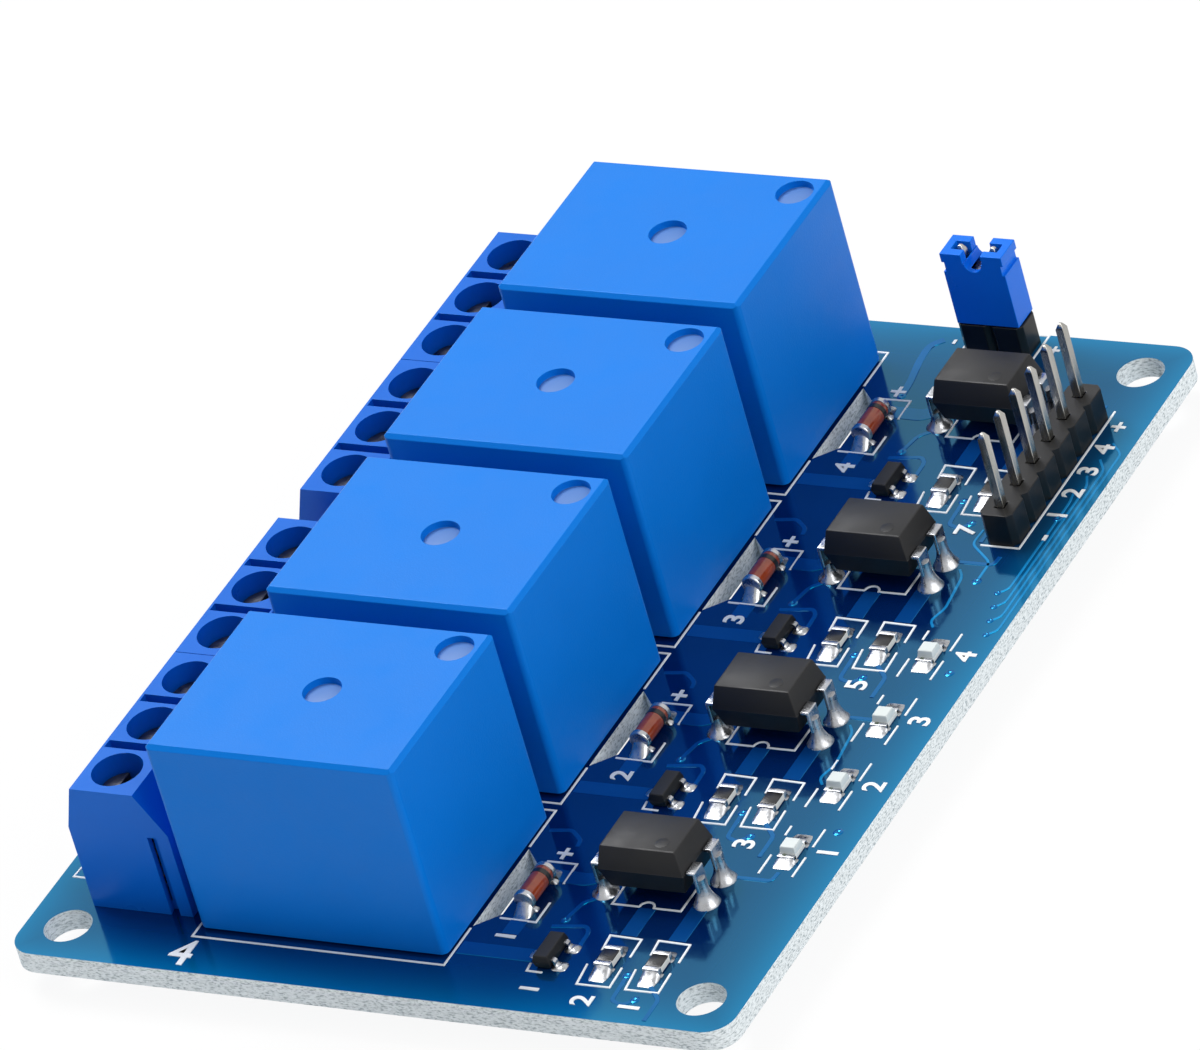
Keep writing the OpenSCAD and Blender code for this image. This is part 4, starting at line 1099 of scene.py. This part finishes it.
for k, y in enumerate(channel_y, 1):
    number("+", diode_x - 0.05, y + 4.05, 2.3)
    number(k, diode_x - 0.1, y - 4.8, 2.1)
    number(k, trans_x + 0.1, y - 9.7, 2.0)
    number(2 * k, chip_x[0] + 0.05, y - 10.25, 2.2)
    number(2 * k - 1, chip_x[1], y - 10.4, 2.2)
    number(k, lamp_x + 2.55, lamp_y[k - 1] + 0.3, 2.2)
for i, sign in enumerate(("-", 1, 2, 3, 4, "+")):
    number(sign, header[3] + 1.3, header[1] + 1.27 + 2.54 * i, 2.1)
number(4, relay_left + 0.2, board[1] + 1.75, 3.6, along_y=False)
number("-", power[0] - 1.4, middle(power)[1], 1.7)
number("+", power[3] + 1.5, middle(power)[1], 1.7)

bm = bmesh.new()
for mesh in signs:
    bm.from_mesh(mesh)
sign_mesh = bpy.data.meshes.new("printed_numbers")
bm.to_mesh(sign_mesh)
bm.free()
sign_mesh.materials.clear()
sign_mesh.materials.append(print_white)
numbers = bpy.data.objects.new("printed_numbers", sign_mesh)
bpy.context.scene.collection.objects.link(numbers)
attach(numbers, "board")
print("signs:", len(signs))

# %% [markdown]
# ## Floor, light and camera
# The board stands on a plain pale floor, on the tips of its leads. One broad lamp from the
# back left draws the edges, a weaker one from the front right opens the shadows, and the
# world fills in softly. The floor and the world are white where the camera or a shiny
# surface looks at them, as a white studio would be.

# %% Floor
HALF = 3.0
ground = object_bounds()[0][2]
floor_mesh = bpy.data.meshes.new("floor")
floor_mesh.from_pydata([(-HALF, -HALF, ground), (HALF, -HALF, ground), (HALF, HALF, ground),
                        (-HALF, HALF, ground)], [], [(0, 1, 2, 3)])
floor = bpy.data.objects.new("floor", floor_mesh)
bpy.context.scene.collection.objects.link(floor)
paper = bpy.data.materials.new("white_paper")
paper.use_nodes = True
tree = paper.node_tree
tree.nodes.clear()
out = tree.nodes.new("ShaderNodeOutputMaterial")
diffuse = tree.nodes.new("ShaderNodeBsdfDiffuse")
diffuse.inputs["Color"].default_value = (0.86, 0.86, 0.86, 1)
white = tree.nodes.new("ShaderNodeEmission")
rays = tree.nodes.new("ShaderNodeLightPath")
seen = tree.nodes.new("ShaderNodeMath")
seen.operation = "MAXIMUM"
tree.links.new(rays.outputs["Is Camera Ray"], seen.inputs[0])
tree.links.new(rays.outputs["Is Glossy Ray"], seen.inputs[1])
share = tree.nodes.new("ShaderNodeMath")
share.operation = "MULTIPLY"
share.inputs[1].default_value = 0.93
tree.links.new(seen.outputs[0], share.inputs[0])
blend = tree.nodes.new("ShaderNodeMixShader")
tree.links.new(share.outputs[0], blend.inputs["Fac"])
tree.links.new(diffuse.outputs[0], blend.inputs[1])
tree.links.new(white.outputs[0], blend.inputs[2])
tree.links.new(blend.outputs[0], out.inputs["Surface"])
floor_mesh.materials.append(paper)
print("floor at", round(ground, 5))

# %% World
world = bpy.data.worlds.new("studio")
bpy.context.scene.world = world
world.use_nodes = True
tree = world.node_tree
tree.nodes.clear()
out = tree.nodes.new("ShaderNodeOutputWorld")
fill = tree.nodes.new("ShaderNodeBackground")
fill.inputs["Strength"].default_value = 0.28
shown = tree.nodes.new("ShaderNodeBackground")
shown.inputs["Color"].default_value = (1, 1, 1, 1)
fill.inputs["Color"].default_value = (1, 1, 1, 1)
rays = tree.nodes.new("ShaderNodeLightPath")
seen = tree.nodes.new("ShaderNodeMath")
seen.operation = "MAXIMUM"
seen_through = tree.nodes.new("ShaderNodeMath")
seen_through.operation = "MAXIMUM"
tree.links.new(rays.outputs["Is Camera Ray"], seen.inputs[0])
tree.links.new(rays.outputs["Is Glossy Ray"], seen.inputs[1])
tree.links.new(seen.outputs[0], seen_through.inputs[0])
tree.links.new(rays.outputs["Is Transmission Ray"], seen_through.inputs[1])
blend = tree.nodes.new("ShaderNodeMixShader")
tree.links.new(seen_through.outputs[0], blend.inputs["Fac"])
tree.links.new(fill.outputs[0], blend.inputs[1])
tree.links.new(shown.outputs[0], blend.inputs[2])
tree.links.new(blend.outputs[0], out.inputs["Surface"])
print("world fill:", fill.inputs["Strength"].default_value)

# %% Lamps


def lamp(name, azimuth, height, distance, size, power):
    """An area lamp aimed at the origin from that azimuth and height in degrees."""
    light = bpy.data.lights.new(name, "AREA")
    light.size = size
    light.energy = power
    a, h = math.radians(azimuth), math.radians(height)
    place = Vector((math.cos(h) * math.cos(a), math.cos(h) * math.sin(a), math.sin(h))) * distance
    holder = bpy.data.objects.new(name, light)
    holder.location = place
    holder.rotation_euler = (-place).to_track_quat("-Z", "Y").to_euler()
    bpy.context.scene.collection.objects.link(holder)


lamp("key", 152, 55, 0.9, 0.4, 7.5)
lamp("side", -9, 36, 1.0, 0.8, 6)
print("studio lamps:", len(bpy.data.lights))

# %% [markdown]
# The camera is set by the point it looks at, its distance, its azimuth and height round that
# point, and its roll. A long lens from far off keeps the board's edges nearly parallel.

# %% Camera
AIM = Vector((-0.00074, 0.00362, 0.009))
DISTANCE, AZIMUTH, LIFT, ROLL, LENS = 0.838, -53.98, 33.35, -16.38, 372.27
a, h = math.radians(AZIMUTH), math.radians(LIFT)
outward = Vector((math.cos(h) * math.cos(a), math.cos(h) * math.sin(a), math.sin(h)))
level = Vector((0, 0, 1)).cross(outward).normalized()
upright = outward.cross(level)
roll = math.radians(ROLL)
right = level * math.cos(roll) + upright * math.sin(roll)
up = outward.cross(right)
camera = bpy.data.objects.new("camera", bpy.data.cameras.new("camera"))
camera.data.lens = LENS
camera.data.sensor_width = 36
camera.data.sensor_fit = "HORIZONTAL"
camera.data.clip_start = 0.01
camera.matrix_world = Matrix((
    (right.x, up.x, outward.x, AIM.x + outward.x * DISTANCE),
    (right.y, up.y, outward.y, AIM.y + outward.y * DISTANCE),
    (right.z, up.z, outward.z, AIM.z + outward.z * DISTANCE),
    (0, 0, 0, 1)))
bpy.context.scene.collection.objects.link(camera)
bpy.context.scene.camera = camera
bpy.context.scene.view_settings.view_transform = "Standard"
print("camera at", tuple(round(v, 4) for v in camera.matrix_world.translation))
